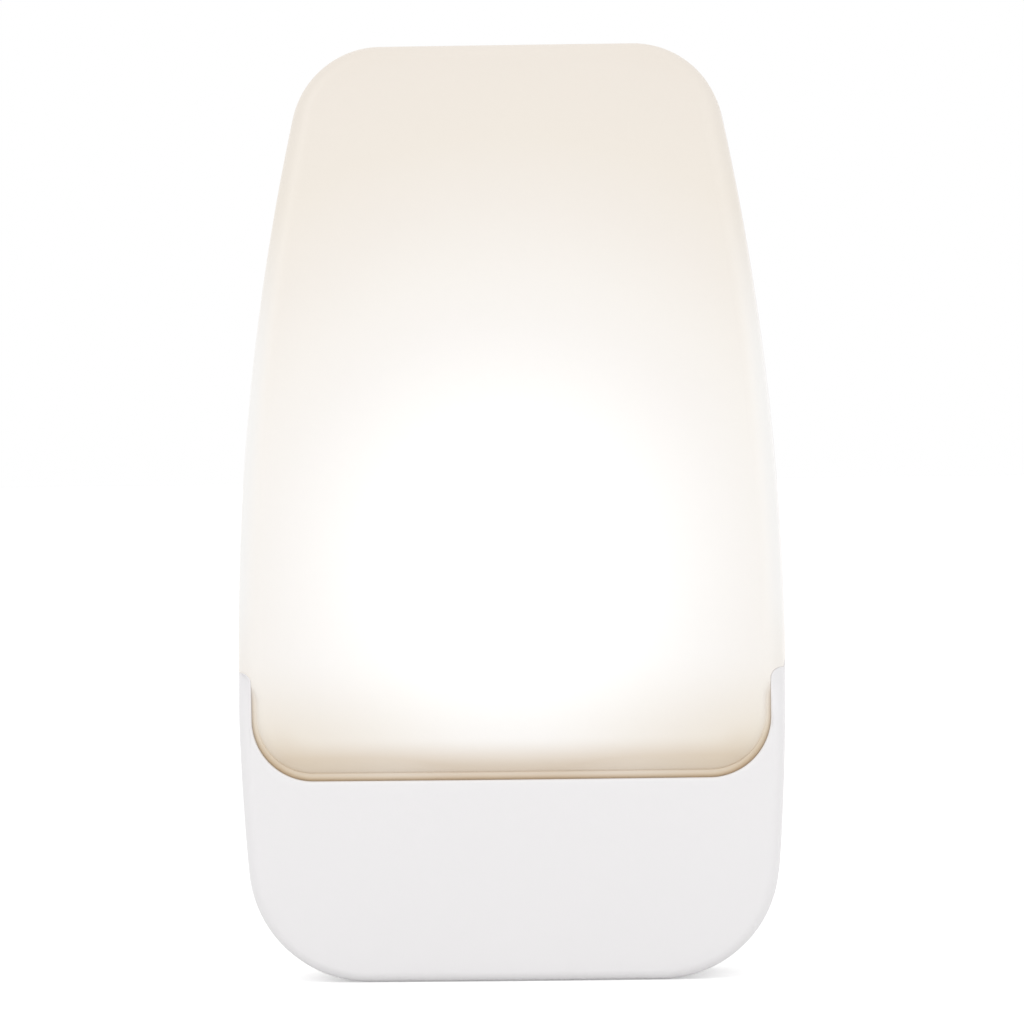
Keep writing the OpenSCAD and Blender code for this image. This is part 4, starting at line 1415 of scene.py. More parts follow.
    def add_bosses(self, obj):
        """Two screw bosses inside, and the hole for the sensor window."""
        body, (x, z) = self.casing, SCREW_COLUMN
        seam, front = body.seam, body.front(x, z) - self.wall / 2
        places = [((side * x, 0, z), BACK_TO_FRONT) for side in (-1, 1)]
        cut(obj, turned_mesh([(cylinder(3.5, seam, front), *place) for place in places]), "UNION")
        radius = self.light.window / 2 + 0.1
        window = [(0, -1), (radius + 1.2, -1), (radius, 0.25), (radius, self.wall + 1), (0, self.wall + 1)]
        holes = [(cylinder(1.25, seam - 1, seam + 11), *place) for place in places]
        cut(obj, turned_mesh(holes + [(window, (0, -self.light.window_place, body.low), UPWARDS)]))
        smoothed(obj.data)


def cylinder(radius, start, end):
    """The profile of a plain round hole or post."""
    return [(0, start), (radius, start), (radius, end), (0, end)]


def mirrored(spot):
    return spot._replace(x=-spot.x, out_x=-spot.out_x)


def walked(spots, steps):
    """Spots spaced evenly along a line of spots."""
    reach = [0.0]
    for a, b in zip(spots, spots[1:]):
        reach.append(reach[-1] + math.hypot(b.x - a.x, b.z - a.z))
    found = []
    k = 0
    for i in range(steps + 1):
        goal = reach[-1] * i / steps
        while k < len(spots) - 2 and reach[k + 1] < goal:
            k += 1
        t = (goal - reach[k]) / (reach[k + 1] - reach[k])
        found.append(Spot(*(p + (q - p) * t for p, q in zip(spots[k], spots[k + 1]))))
    return found


class NIGHTLIGHT_OT_diffuser(bpy.types.Operator):
    """Builds the diffuser with its ledge, its tongue and its snap hooks"""

    bl_idname = "night_light.diffuser"
    bl_label = "Diffuser"

    def execute(self, context):
        shape = DiffuserShape(context.scene.night_light)
        obj = shape.casing.crowned("diffuser_shell", shape.skin(), "lit_diffuser")
        shape.add_catches(obj)
        # rim, under and ledge place the painted shade at the foot and along the seam in the diffuser's
        # material
        mark_rim(obj.data, shape.ring)
        finished(obj, "lit_diffuser", ["diffuser"], "diffuser_plastic")
        return {"FINISHED"}


class DiffuserShape(Measured):
    """The diffuser: set in behind the prongs, flush above them, with a ledge round its foot."""

    shoulder_steps = 12
    upright_steps = 16
    bead_steps = 6
    # The height over which the ledge fades out, the width of the rib that closes the gap,
    # the break along the rim's inner edge, and the height up to which the rim is set forward
    fade = 2.2
    rib = 0.09
    rim_break = 0.12
    low_rim_top = 10

    def __init__(self, settings):
        super().__init__(settings.diffuser)
        self.casing = body = Casing(settings)
        self.cover = cover = CoverShape(settings)
        corner = cover.notch_corner - self.gap
        upright_x, upright_z = cover.notch_half - self.gap, cover.notch + self.gap + corner
        flush_radius = body.half - cover.tip_x
        self.flush = cover.tip_height + self.gap + flush_radius
        top_z, top_bow = body.high - body.top_corner, body.side_radius - body.top_corner
        top_a = math.asin((top_z - body.widest) / top_bow)
        side_x = body.half - body.side_radius
        top_x = side_x + top_bow * math.cos(top_a)
        steps, span = self.upright_steps, cover.shoulder - upright_z
        step_out = [Spot(upright_x, upright_z + span * i / steps, 1, 0) for i in range(1, steps)]
        steps = self.shoulder_steps
        step_out += arc(cover.tip_x, cover.shoulder, cover.tip + self.gap, 180, 90, steps)
        step_out += arc(cover.tip_x, self.flush, flush_radius, -90, 0, steps, 0, 1)
        low_a, high_a = math.degrees(body.side_angle(self.flush)), math.degrees(top_a)
        above = arc(side_x, body.widest, body.side_radius, low_a, high_a, SIDE_STEPS, 0, 1)
        above += arc(top_x, top_z, body.top_corner, high_a, 90, CORNER_STEPS, 0, 1)
        foot = arc(upright_x - corner, upright_z, corner, -90, 0, CORNER_STEPS)
        self.spots = self.low_edged(foot) + self.step_edged(step_out) + self.high_edged(above)
        self.ring = ring_of(self.spots)

    def low_edged(self, spots):
        """Round the bottom. At the prongs the round ends on the line it has above them."""
        start = self.side - (self.casing.half_width(spots[-1].z) - spots[-1].x)
        edges = [start + (self.low - start) * max(-spot.out_z, 0) for spot in spots]
        return [spot._replace(edge=edge, ledge=1.0) for spot, edge in zip(spots, edges)]

    def step_edged(self, spots):
        """Up beside the prongs and over their tips, where the ledge fades out."""
        found = []
        for spot in spots:
            share = eased((self.cover.shoulder - spot.z) / self.fade)
            inside = max(self.casing.half_width(spot.z) - spot.x, 0)
            found.append(Spot(spot.x, spot.z, 1, 0, self.side, share, inside))
        return found

    def high_edged(self, spots):
        """Up the sides and round the top."""
        edges = [self.side + (self.top - self.side) * max(spot.out_z, 0) for spot in spots]
        return [spot._replace(edge=edge) for spot, edge in zip(spots, edges)]

    def full_ledge(self, spot):
        return self.side_ledge + (self.ledge - self.side_ledge) * max(-spot.out_z, 0)

    def ledge_width(self, spot):
        return self.full_ledge(spot) * spot.ledge

    def stepped_point(self, spot, part):
        """A point of the edge round where it rises from the ledge."""
        radius = spot.edge - spot.inside
        rise = math.cos(self.casing.tilt(spot)) - self.ledge_drop / radius
        start = math.asin(max(rise, 0))
        base = self.full_ledge(spot) - radius * (1 - math.cos(start))
        return self.casing.round_point(spot, 0, part, radius, base, start)

    def rim_ring(self, inset, off):
        """A ring along the rim. The bottom wall's rim stops in front of the reflector."""
        seam, high = self.casing.seam, self.low_rim_top
        depths = [seam + (self.low_rim - seam) * clamped(high - spot.z) for spot in self.ring]
        return [placed(spot, inset, depth + off) for spot, depth in zip(self.ring, depths)]

    def inner_ring(self, part):
        found = []
        for spot in self.ring:
            radius = max(spot.edge - spot.inside - self.wall, 0.4)
            base = self.wall + 0.4 * self.ledge_width(spot)
            found.append(self.casing.round_point(spot, self.wall, part, radius, base))
        return found

    def edge_ring(self, part):
        found = []
        for spot in self.ring:
            flush = self.casing.edge_point(spot, part)
            stepped = self.stepped_point(spot, part)
            found.append(Point(*(a + (b - a) * spot.ledge for a, b in zip(flush, stepped))))
        return found

    def front_ring(self, ring, inset):
        """A ring of the front, that far inside the one where the edge round ends."""
        found = []
        for spot, point in zip(self.ring, ring):
            x, z = point.x - inset * spot.out_x, point.z - inset * spot.out_z
            found.append(Point(x, 0, z, 1.0, x, z))
        return found

    def bead_rings(self):
        """Rings up over the bead, along the ledge and down into the groove beside the dome.

        A narrow rib under the bead closes the gap to the cover against stray light. Where
        the ledge fades out, spare spaces the rings instead.
        """
        steps, foot_ring, normals = self.bead_steps, self.edge_ring(0), outline_normals(self.ring)
        turns = [math.pi / 2 * i / steps for i in range(steps + 1)]
        # The ledge's rings: share of its width, depth below it
        groove = ((0.75, 0.0), (0.86, 0.05), (0.94, 0.13))
        found = []
        for k in range(-2, steps + 1 + len(groove)):
            spare = 0.02 * (steps + 4 - k)
            ring = []
            for spot, foot, normal in zip(self.ring, foot_ring, normals):
                width = self.ledge_width(spot)
                r = min(self.bead, 0.7 * width)
                rib = self.rib * min(max(self.flush - spot.z, 0) / 0.3, 1)
                if k < 0:
                    inset, back = 0.0, -0.1 * k + 0.8
                    rib *= k + 2
                elif k <= steps:
                    inset, back = r * (1 - math.cos(turns[k])), 0.7 * r * (1 - math.sin(turns[k]))
                    rib *= math.cos(turns[k]) * spot.ledge + 1 - spot.ledge
                else:
                    share, depth = groove[k - steps - 1]
                    low = 0.15 + 0.85 * max(-spot.out_z, 0)
                    inset, back = max(width * share, r), depth * low * spot.ledge
                    rib *= 1 - spot.ledge
                x, z = moved_in(spot, inset)
                x, z = x + rib * normal[0], z + rib * normal[1]
                ring.append(foot._replace(x=x, z=z, y=foot.y + back + spare * (1 - spot.ledge)))
            found.append(ring)
        return found

    def skin(self):
        wall, rim_break = self.wall, self.rim_break
        rings = [self.inner_ring(j / ROUND_STEPS) for j in range(ROUND_STEPS, -1, -1)]
        rim_line = ((wall, rim_break), (wall - rim_break, 0), *self.casing.rim_line)
        rings += [self.rim_ring(inset, off) for inset, off in rim_line]
        rings += self.bead_rings()
        rings += [self.edge_ring(j / ROUND_STEPS) for j in range(ROUND_STEPS + 1)]
        rings += [self.front_ring(rings[-1], inset) for inset in (0.1, 0.4)]
        skin, rows = Skin(), len(self.spots) - 1
        added = skin.loft(rings, ends=False)
        cap(skin, added[0], rows, lambda x, z: Point(x, wall, z, 1.0, x, z))
        cap(skin, added[-1], rows, lambda x, z: Point(x, 0, z, 1.0, x, z))
        return skin

    def add_catches(self, obj):
        """A tongue that lies behind the cover's edge, and two snap hooks under the top wall."""
        body, notch = self.casing, self.cover.notch
        half, below, height = 20, 2.6, 3.4 + self.gap
        depth = body.front(half, notch) - self.cover.wall - 0.3
        tongue = round_box(2 * half, height, 1.0, (0, notch - below + height / 2))
        meshes = [plate([tongue], depth - 1.4, depth, 0.25)]
        root, leg = body.high - self.wall + 0.5, body.high - 3.2
        hook = [
            ((-17, root), 0), ((-15.4, root), 0), ((-15.4, leg), 0.4), ((-11.2, leg), 0.5),
            ((-10.7, leg + 0.8), 0.15), ((-10.2, leg + 0.8), 0.2), ((-9.6, leg - 0.2), 0.2),
            ((-9.6, leg - 1.2), 0.2), ((-17, leg - 1.2), 0),
        ]
        half = HOOK_WIDTH / 2
        for x in (HOOK_X, -HOOK_X):
            meshes.append(plate([rounded(hook)], x - half, x + half, 0.12, SIDEWAYS))
        cut(obj, joined(meshes), "UNION")
        smoothed(obj.data)


class NIGHTLIGHT_OT_rear_housing(bpy.types.Operator):
    """Builds the rear housing, from the face that meets the wall to the rim"""

    bl_idname = "night_light.rear_housing"
    bl_label = "Rear housing"

    def execute(self, context):
        shape = HousingShape(context.scene.night_light)
        obj = linked("housing_shell", smoothed(shape.skin().mesh()))
        shape.add_fixings(obj)
        finished(obj, "housing_white", ["rear_housing"], "housing_plastic")
        return {"FINISHED"}


class HousingShape(Measured):
    """Tray and block in one, hollow, with a lip inside its rim."""

    # The rounds where the block meets the tray and the wall face, and the block's draft
    cove = 1.0
    face_round = 1.0
    draft = 0.3

    def __init__(self, settings):
        super().__init__(settings.housing)
        self.casing = Casing(settings)
        self.plug = Measured(settings.plug)
        self.floor = self.gap + self.wall
        side = self.casing.body_side(0)
        self.ring = ring_of(side)
        self.block = ring_of(self.block_side(len(side)))

    def block_side(self, count):
        """The block's right side, with as many spots as the tray's, each across from its own."""
        half, low, top = self.block_width / 2, self.block_low, self.block_top
        low_corner, top_corner = 9, 5
        up, turn, run = 16, 34, 7.0
        start, end = low + low_corner, top - top_corner
        side = arc(half - low_corner, start, low_corner, -90, 0, CORNER_STEPS)
        side += [Spot(half, start + (end - start) * k / up, 1, 0) for k in range(1, up)]
        side += arc(half - top_corner, end, top_corner, 0, 90, turn)
        rest = count - len(side)
        return side + [Spot(half - top_corner - run * k / rest, top, 0, 1) for k in range(1, rest + 1)]

    def lip_ring(self, inset, part):
        """A ring of the lip, which is left out beside the cover's prongs."""
        found = []
        for spot in self.ring:
            out = clamped((spot.z - 0.2) / 0.8) * clamped((17.7 - spot.z) / 0.8)
            height = 0.03 + (self.lip - 0.03) * (1 - out)
            found.append(placed(spot, inset, self.casing.seam + height * part))
        return found

    def rounds(self, ring, inset, radius, depth, inward=1):
        """Rings of a quarter round, from its deepest ring to its last one at depth."""
        found = []
        for j in range(ROUND_STEPS, -1, -1):
            a = math.pi / 2 * j / ROUND_STEPS
            shift = inset + inward * radius * (1 - math.cos(a))
            found.append(level(ring, shift, depth + inward * radius * (1 - math.sin(a))))
        return found

    def skin(self):
        seam, floor, wall = self.casing.seam, self.floor, self.wall
        rings = self.rounds(self.block, self.draft, self.face_round, 0)
        rings += reversed(self.rounds(self.block, 0, self.cove, self.gap, -1))
        rings += self.rounds(self.ring, 0, self.edge, self.gap)
        rings += [level(self.ring, inset, seam - off) for inset, off in reversed(self.casing.rim_line)]
        lip = ((1.9, 0), (1.9, 0.85), (2.1, 1), (self.rim - 0.1, 1), (self.rim, 0.9))
        rings += [self.lip_ring(inset, part) for inset, part in lip]
        rings += [level(self.ring, self.rim, floor + 0.3), level(self.ring, self.rim + 0.3, floor)]
        well = ((wall - 0.2, floor), (wall, floor - 0.2), (wall, wall + 0.4), (wall + 0.4, wall))
        rings += [level(self.block, inset, depth) for inset, depth in well]
        skin = Skin()
        skin.loft(rings)
        return skin

    def add_fixings(self, obj):
        """Columns and posts inside, bores and blade slots, and notches for the snap hooks."""
        seam = self.casing.seam
        floor, wall = self.floor - 0.5, self.wall - 0.5
        # place, radius, start, end, bevel. Pins stand on posts, so they are added after them.
        posts = [(SCREW_COLUMN, 4.6, wall, seam, 0.3), (BOARD_SCREW, 2.5, floor, BOARD_BACK, 0.2)]
        posts += [(BOARD_PEG, 2.1, wall, BOARD_BACK, 0.2)]
        posts += [(at, 2.5, floor, REFLECTOR_BACK, 0.2) for at in REFLECTOR_POSTS]
        pins = [(BOARD_PEG, 0.9, BOARD_BACK - 1, BOARD_BACK + 2.2, 0.3)]
        pins += [(at, 1.2, REFLECTOR_BACK - 1, REFLECTOR_BACK + 1.6, 0.3) for at in REFLECTOR_POSTS]
        screws = [((0, 0, side * RETAINER_SCREW_Z), BACK_TO_FRONT) for side in (-1, 1)]
        under_retainer = [(post(2.5, wall, RETAINER_BACK, 0.2), *screw) for screw in screws]
        cut(obj, turned_mesh(both_sides(posts) + under_retainer, 40), "UNION")
        cut(obj, turned_mesh(both_sides(pins), 40), "UNION")
        sink = [(0, -1), (4.4, -1), (3.1, 0.3), (3.1, 6), (1.65, 6), (1.65, seam + 1), (0, seam + 1)]
        pilot = cylinder(1, self.gap + 0.8, BOARD_BACK + 1)
        bores = []
        for side, screw in zip((-1, 1), screws):
            for profile, (x, z) in ((sink, SCREW_COLUMN), (pilot, BOARD_SCREW)):
                bores.append((profile, (side * x, 0, z), BACK_TO_FRONT))
            bores.append((cylinder(0.95, 1, 5), *screw))
        cut(obj, turned_mesh(bores))
        cut(obj, self.slot_mesh())
        half, top = HOOK_WIDTH / 2 + HOOK_ROOM, self.casing.high
        notches = [
            bevelled_box((x - half, -11.5, top - 3.5), (x + half, -9.4, top - 2), 0.15)
            for x in (HOOK_X, -HOOK_X)
        ]
        cut(obj, joined(notches))
        smoothed(obj.data)

    def slot_mesh(self):
        """Cutters for the two blade slots, flared at the wall face."""
        plug, clear, flare = self.plug, 0.2, 1.3
        skin = Skin()
        for x, width in ((plug.pitch / 2, plug.line), (-plug.pitch / 2, plug.neutral)):
            half_x, half_z = plug.thickness / 2 + clear, width / 2 + clear
            skin.loft(
                [Point(x + i * (half_x + extra), y, j * (half_z + extra)) for i, j in CORNERS]
                for extra, y in ((flare, 1), (0, -0.3), (0, -self.wall - 1))
            )
        return smoothed(skin.mesh())


def post(radius, start, end, bevel):
    """The profile of a round post with a bevelled end."""
    return [(0, start), (radius, start), (radius, end - bevel), (radius - bevel, end), (0, end)]


def both_sides(posts):
    """A post at each place, and one across from it."""
    return [
        (post(*sizes), (side * x, 0, z), BACK_TO_FRONT) for (x, z), *sizes in posts for side in (-1, 1)
    ]


# ---------- Plug ----------


class NIGHTLIGHT_OT_blades(bpy.types.Operator):
    """Builds the two blades of the plug, with their holes, shoulders and solder tabs"""

    bl_idname = "night_light.blades"
    bl_label = "Blades"

    def execute(self, context):
        plug = Measured(context.scene.night_light.plug)
        for node, side, width in (("line_blade", 1, plug.line), ("neutral_blade", -1, plug.neutral)):
            middle, half = side * plug.pitch / 2, plug.thickness / 2
            mesh = plate(self.outlines(plug, width), middle - half, middle + half, 0.22, SIDEWAYS)
            piece(node + "_metal", mesh, "nickel_plate", [node], "plated_brass")
        return {"FINISHED"}

    @staticmethod
    def outlines(plug, width):
        """The stamped outline in distance from the wall face and height, and the hole."""
        reach, half = plug.reach, width / 2
        upper = [((-2, 5.4), 0.4), ((-4.1, 5.4), 0.4), ((-4.1, 1.6), 0.5), ((-9, 1.6), 0.7)]
        lower = [((y, -z), radius) for (y, z), radius in reversed(upper)]
        tip = [
            ((-2, -half), 0.25), ((reach - 1.6, -half), 0.8), ((reach, 1.6 - half), 0.7),
            ((reach, half - 1.6), 0.7), ((reach - 1.6, half), 0.8), ((-2, half), 0.25),
        ]
        return [rounded(upper + lower + tip), round_hole((plug.hole_place, 0), plug.hole)]


class NIGHTLIGHT_OT_blade_retainer(bpy.types.Operator):
    """Builds the plate that clamps the blades to the housing"""

    bl_idname = "night_light.blade_retainer"
    bl_label = "Blade retainer"

    def execute(self, context):
        plug = Measured(context.scene.night_light.plug)
        outlines = [round_box(24, 17, 2)]
        for side in (-1, 1):
            slot = plug.thickness + 0.2, 3.4, 0.2, (side * plug.pitch / 2, 0)
            outlines += [round_box(*slot), round_hole((0, side * RETAINER_SCREW_Z), 2.6)]
        meshes = [plate(outlines, RETAINER_BACK, RETAINER_FRONT, 0.2)]
        for side in (-1, 1):
            rib = round_box(0.9, 11, 0.3, (side * 9.6, 0))
            meshes.append(plate([rib], RETAINER_FRONT - 0.3, RETAINER_FRONT + 0.7, 0.15))
        mesh = joined(meshes)
        piece("retainer_plate", mesh, "retainer_white", ["blade_retainer"], "housing_plastic")
        return {"FINISHED"}


# The right-hand wire's way from the blade's tab to the board, as corners and the radii of
# its bends. The left one mirrors it.
WIRE_ROUTE = (((8, -8, -1.5), 0), ((8, -8, 5), 3.5), ((12, -8.1, 12.5), 1.7), ((12, -12.6, 12.5), 0))


class NIGHTLIGHT_OT_wires(bpy.types.Operator):
    """Builds the two wires from the blades to the board, with their bare ends"""

    bl_idname = "night_light.wires"
    bl_label = "Wires"

    def execute(self, context):
        bare, tabs = [], Skin()
        dome = [(0.0, -0.05), (0.9, -0.05), (0.85, 0.1), (0.62, 0.32), (0.35, 0.46), (0, 0.5)]
        for side, node, colour_name in ((1, "line_wire", "black"), (-1, "neutral_wire", "white")):
            route = rounded(WIRE_ROUTE, closed=False, steps=14)
            route = [Vector((side * x, y, z)) for x, y, z in route]
            insulation = colour_name + "_insulation"
            obj = wires(node + "_insulation", [route], WIRE, insulation, 24)
            finished(obj, insulation, [node], insulation)
            bare.append([route[0] + Vector((0, 0, 0.6)), route[0] - Vector((side * 0.2, 0, 0.9))])
            bare.append([route[-1] + Vector((0, 0.6, 0)), route[-1] - Vector((0, 0.5, 0))])
            turned(tabs, dome, (side * 7.1, -8, -2.1), (side, 0, 0), 24)
        finished(wires("wire_strands", bare, 0.9, "tinned_copper"), "tinned_copper")
        piece("tab_solder", smoothed(tabs.mesh()), "solder")
        return {"FINISHED"}


# ---------- Screws ----------

THREAD_HEIGHT = 0.26


class NIGHTLIGHT_OT_screws(bpy.types.Operator):
    """Builds the three pairs of pan-head screws with their threads and cross recesses"""

    bl_idname = "night_light.screws"
    bl_label = "Screws"

    def execute(self, context):
        (x, z), (board_x, board_z) = SCREW_COLUMN, BOARD_SCREW
        on_board = (-board_x, -BOARD_FRONT, board_z), (2 * board_x, 0, 0)
        retained = (0, -RETAINER_FRONT, -RETAINER_SCREW_Z), (0, 0, 2 * RETAINER_SCREW_Z)
        # name, head diameter and height, shank diameter and length, pitch, side, place, spacing
        for name, head, shank, pitch, facing, place, spacing in (
            ("housing", (5.4, 2.2), (2.45, 15), 1.0, 1, (-x, -6, z), (2 * x, 0, 0)),
            ("board", (4, 0.9), (1.95, 3.9), 0.7, -1, *on_board),
            ("retainer", (4.4, 1.6), (1.85, 4.6), 0.7, -1, *retained),
        ):
            body = screw_body(head, shank, pitch, Vector((0, facing, 0)))
            lengths = {
                "Thread start": 0.3,
                "Thread end": shank[1] - 0.7,
                "Pitch": pitch,
                "Thread height": THREAD_HEIGHT,
            }
            values = {label: size * MM for label, size in lengths.items()}
            values["Direction"] = float(-facing)
            node = name + "_screws"
            obj = in_row(node + "_steel", body, "zinc_plate", 2, place, spacing, thread_tree(), values)
            finished(obj, "zinc_plate", [node], "zinc_plated_steel")
        return {"FINISHED"}


def screw_body(head, shank, pitch, along):
    """A pan head with a cross recess on a plain shank, seated at the origin."""
    head_radius, height = head[0] / 2, head[1]
    radius, reach = shank[0] / 2, shank[1]
    root = radius - THREAD_HEIGHT
    profile = [(0, -reach), (root - 0.25, -reach), (root - 0.1, 0.25 - reach), (root, 0.8 - reach)]
    rings = round((reach - 1.0) / pitch * 9)
    profile += [(root, 0.8 - reach + (reach - 1.0) * (i + 1) / rings) for i in range(rings)]
    profile += [(root + 0.12, 0), (head_radius - 0.12, 0), (head_radius, 0.1)]
    for i in range(9):
        turn = math.pi / 2 * i / 8
        out, up = 0.62 + 0.38 * math.cos(turn), 0.45 + 0.55 * math.sin(turn)
        profile.append((head_radius * out, height * up))
    profile.append((0, height))
    skin = Skin()
    turned(skin, profile, (0, 0, 0), along, 40, Vector((1, 0, 0)))
    return hollowed(smoothed(skin.mesh()), cross_recess(head_radius, height, along))


def hollowed(mesh, tool):
    """A mesh with another one taken away from it."""
    obj = linked("hollowed", mesh)
    cut(obj, tool)
    mesh = obj.data
    bpy.data.objects.remove(obj)
    return mesh


def cross_recess(radius, height, along):
    """A tapered cross-shaped cutter."""
    rings = []
    for reach, long, half in ((0.25, 0.16, 0.10), (1.05, 0.58, 0.17)):
        arm = [(long, -half), (long, half), (half, half)]
        corners = []
        for _ in range(4):
            corners += arm
            arm = [(-v, u) for u, v in arm]
        centre = along * (height * reach)
        rings.append([centre + Vector((u * radius, 0, v * radius)) for u, v in corners])
    skin = Skin()
    skin.loft(rings)
    return smoothed(skin.mesh())


# ---------- Light chamber ----------


class NIGHTLIGHT_OT_reflector(bpy.types.Operator):
    """Builds the white plate behind the diffuser, with a window for the light source"""

    bl_idname = "night_light.reflector"
    bl_label = "Reflector"

    def execute(self, context):
        settings = context.scene.night_light
        body, light = Casing(settings), Measured(settings.light)
        inset, low, top = 3.8, 2.9, body.high - 4.7
        outline = [moved_in(spot, inset) for spot in ring_of(body.body_side(0))]
        outline = self.notched([(x, max(z, low)) for x, z in outline], top)
        window = (settings.light.count - 1) * light.pitch + 6, 6, 1.5, (0, light.height)
        outlines = [outline, round_box(*window)]
        outlines += [round_hole((side * x, z), 2.7) for x, z in REFLECTOR_POSTS for side in (-1, 1)]
        mesh = plate(outlines, REFLECTOR_BACK, REFLECTOR_FRONT, 0.12)
        piece("reflector_plate", mesh, "reflector_white", ["reflector"], "reflector_plastic")
        return {"FINISHED"}

    @staticmethod
    def notched(points, top):
        """The outline, cut back to make room for the diffuser's hooks."""
        half = HOOK_WIDTH / 2 + HOOK_ROOM
        lowest, high = min(z for _, z in points), max(z for _, z in points)
        kept = []
        for x, z in points:
            if kept and z == kept[-1][1] == lowest:
                continue
            if not (z > top and abs(x) < HOOK_X + half + 0.5):
                kept.append((x, z))
        cut_line = []
        for side in (1, -1):
            outer, inner = side * (HOOK_X + half), side * (HOOK_X - half)
            corners = [(outer, high), (outer, top), (inner, top), (inner, high)]
            cut_line += corners if side > 0 else corners[::-1]
        split = max(range(len(kept) - 1), key=lambda i: kept[i][0] - kept[i + 1][0])
        return kept[: split + 1] + cut_line + kept[split + 1 :]


class NIGHTLIGHT_OT_light_source(bpy.types.Operator):
    """Builds the row of light-emitting diodes: packages, phosphor and terminals"""

    bl_idname = "night_light.light_source"
    bl_label = "Light source"

    def execute(self, context):
        settings = context.scene.night_light.light
        light, count = Measured(settings), settings.count
        row = (-light.pitch * (count - 1) / 2, -BOARD_FRONT, light.height), (light.pitch, 0, 0)
        cup = [(0, 0.35), (0.95, 0.35), (1.05, 0.42), (1.25, 0.76), (1.32, 0.9), (0, 0.9)]
        mark = [(0, 0.62), (0.22, 0.62), (0.22, 0.9), (0, 0.9)]
        hollows = [(cup, (0, 0, 0), BACK_TO_FRONT), (mark, (1.38, 0, 1.08), BACK_TO_FRONT)]
        body = bevelled_box((-1.7, -0.75, -1.4), (1.7, -0.02, 1.4), 0.1)
        body = smoothed(hollowed(body, turned_mesh(hollows, 40)))
        fill = [(0, 0.35), (0.93, 0.35), (1.0, 0.44), (1.02, 0.52), (0.9, 0.60), (0.5, 0.63), (0, 0.64)]
        emitter = turned_mesh([(fill, (0, 0, 0), BACK_TO_FRONT)], 40)
        tabs = joined(side_boxes(1.6, 0.25, (-0.3, 0), 1.1, 0.06))
        for name, mesh, material, nodes, slot in (
            ("led_bodies", body, "led_white", ["led_packages"], "led_plastic"),
            ("led_phosphor", emitter, "phosphor", ["led_emitters"], "led_phosphor"),
            ("led_terminals", tabs, "tinned_copper", (), "plated_brass"),
        ):
            finished(in_row(name, mesh, material, count, *row), material, nodes, slot)
        return {"FINISHED"}


def side_boxes(x, half, depths, half_height, bevel):
    """Two boxes, to the left and the right."""
    low, high = depths
    return [
        bevelled_box((side * x - half, low, -half_height), (side * x + half, high, half_height), bevel)
        for side in (-1, 1)
    ]


# ---------- Circuit board ----------


class NIGHTLIGHT_OT_circuit_board(bpy.types.Operator):
    """Builds the circuit board with its pads and solder joints"""

    bl_idname = "night_light.circuit_board"
    bl_label = "Circuit board"

    def execute(self, context):
        right = [(12.4, -14), (12.4, -3), (20, -3), (20, 38)]
        corners = [(-12.4, -14), *right, (-20, 38), (-20, -3), (-12.4, -3)]
        outlines = [rounded([(corner, 1.0) for corner in corners])]
        outlines += [round_hole(at, LEAD_HOLE, 20) for at in LEAD_HOLES]
        for side in (-1, 1):
            for (x, z), diameter in ((WIRE_AT, WIRE + 0.2), (BOARD_SCREW, 2.8), (BOARD_PEG, 2.0)):
                outlines.append(round_hole((side * x, z), diameter))
        mesh = plate(outlines, BOARD_BACK, BOARD_FRONT, 0.06)
        piece("board", mesh, "solder_mask", ["circuit_board"], "board_laminate")
        self.joints()
        return {"FINISHED"}

    @staticmethod
    def joints():
        """Solder cones on the wall side and ring-shaped pads in front, at every lead."""
        radius = LEAD / 2
        cone = [
            (radius - 0.05, 0), (0.95, 0), (0.98, 0.03), (0.95, 0.08), (0.7, 0.2), (0.52, 0.38),
            (0.41, 0.58), (0.35, 0.76), (radius + 0.01, 0.88), (radius - 0.05, 0.9),
        ]
        pad = [(0.45, 0.0), (0.9, 0.0), (0.9, 0.04), (0.86, 0.06), (0.45, 0.06)]
        for name, profile, depth, along in (
            ("solder_joints", cone, BOARD_BACK, (0, 1, 0)), ("pads", pad, BOARD_FRONT, BACK_TO_FRONT),
        ):
            ring = turned_mesh([(profile + profile[:1], (0, 0, 0), along)], 20)
            places = [Vector((x, -depth, z)) for x, z in LEAD_HOLES]
            finished(at_points(name, ring, "solder", places), "solder")


class NIGHTLIGHT_OT_chip_resistors(bpy.types.Operator):
    """Builds the chip resistors on the light source's side of the board"""

    bl_idname = "night_light.chip_resistors"
    bl_label = "Chip resistors"

    def execute(self, context):
        points = [Vector((x, -BOARD_FRONT, z)) for x, z in CHIPS_AT]
        body = bevelled_box((-0.93, -0.5, -0.58), (0.93, -0.03, 0.58), 0.04)
        coat = bevelled_box((-0.62, -0.55, -0.5), (0.62, -0.45, 0.5), 0.04)
        obj = at_points("chip_bodies", joined([body, coat]), "chip_ceramic", points)
        finished(obj, "chip_ceramic", ["chip_resistors"], "chip_ceramic")
        ends = joined(side_boxes(0.81, 0.19, (-0.53, 0), 0.6, 0.05))
        finished(at_points("chip_ends", ends, "solder", points), "solder")
        return {"FINISHED"}


# ---------- Parts on the board ----------


def leads(name, lines):
    """A piece of round leads along those lines."""
    finished(wires(name, lines, LEAD, "tinned_copper"), "tinned_copper")


def drops(places, depth):
    """Straight leads through the board from that distance from the wall."""
    return [[Vector((x, -depth, z)), Vector((x, -LEAD_END, z))] for x, z in places]


def bent_leads(at, span, body_length, depth):
    """The two leads of a part that lies along X, bent down to the board."""
    found = []
    for side, (x, z) in zip((-1, 1), pair(at, span)):
        start = at[0] + side * (body_length / 2 - 0.2)
        corners = [((start, -depth, z), 0), ((x, -depth, z), 0.55), ((x, -LEAD_END, z), 0)]
        found.append(rounded(corners, closed=False, steps=6))
    return found


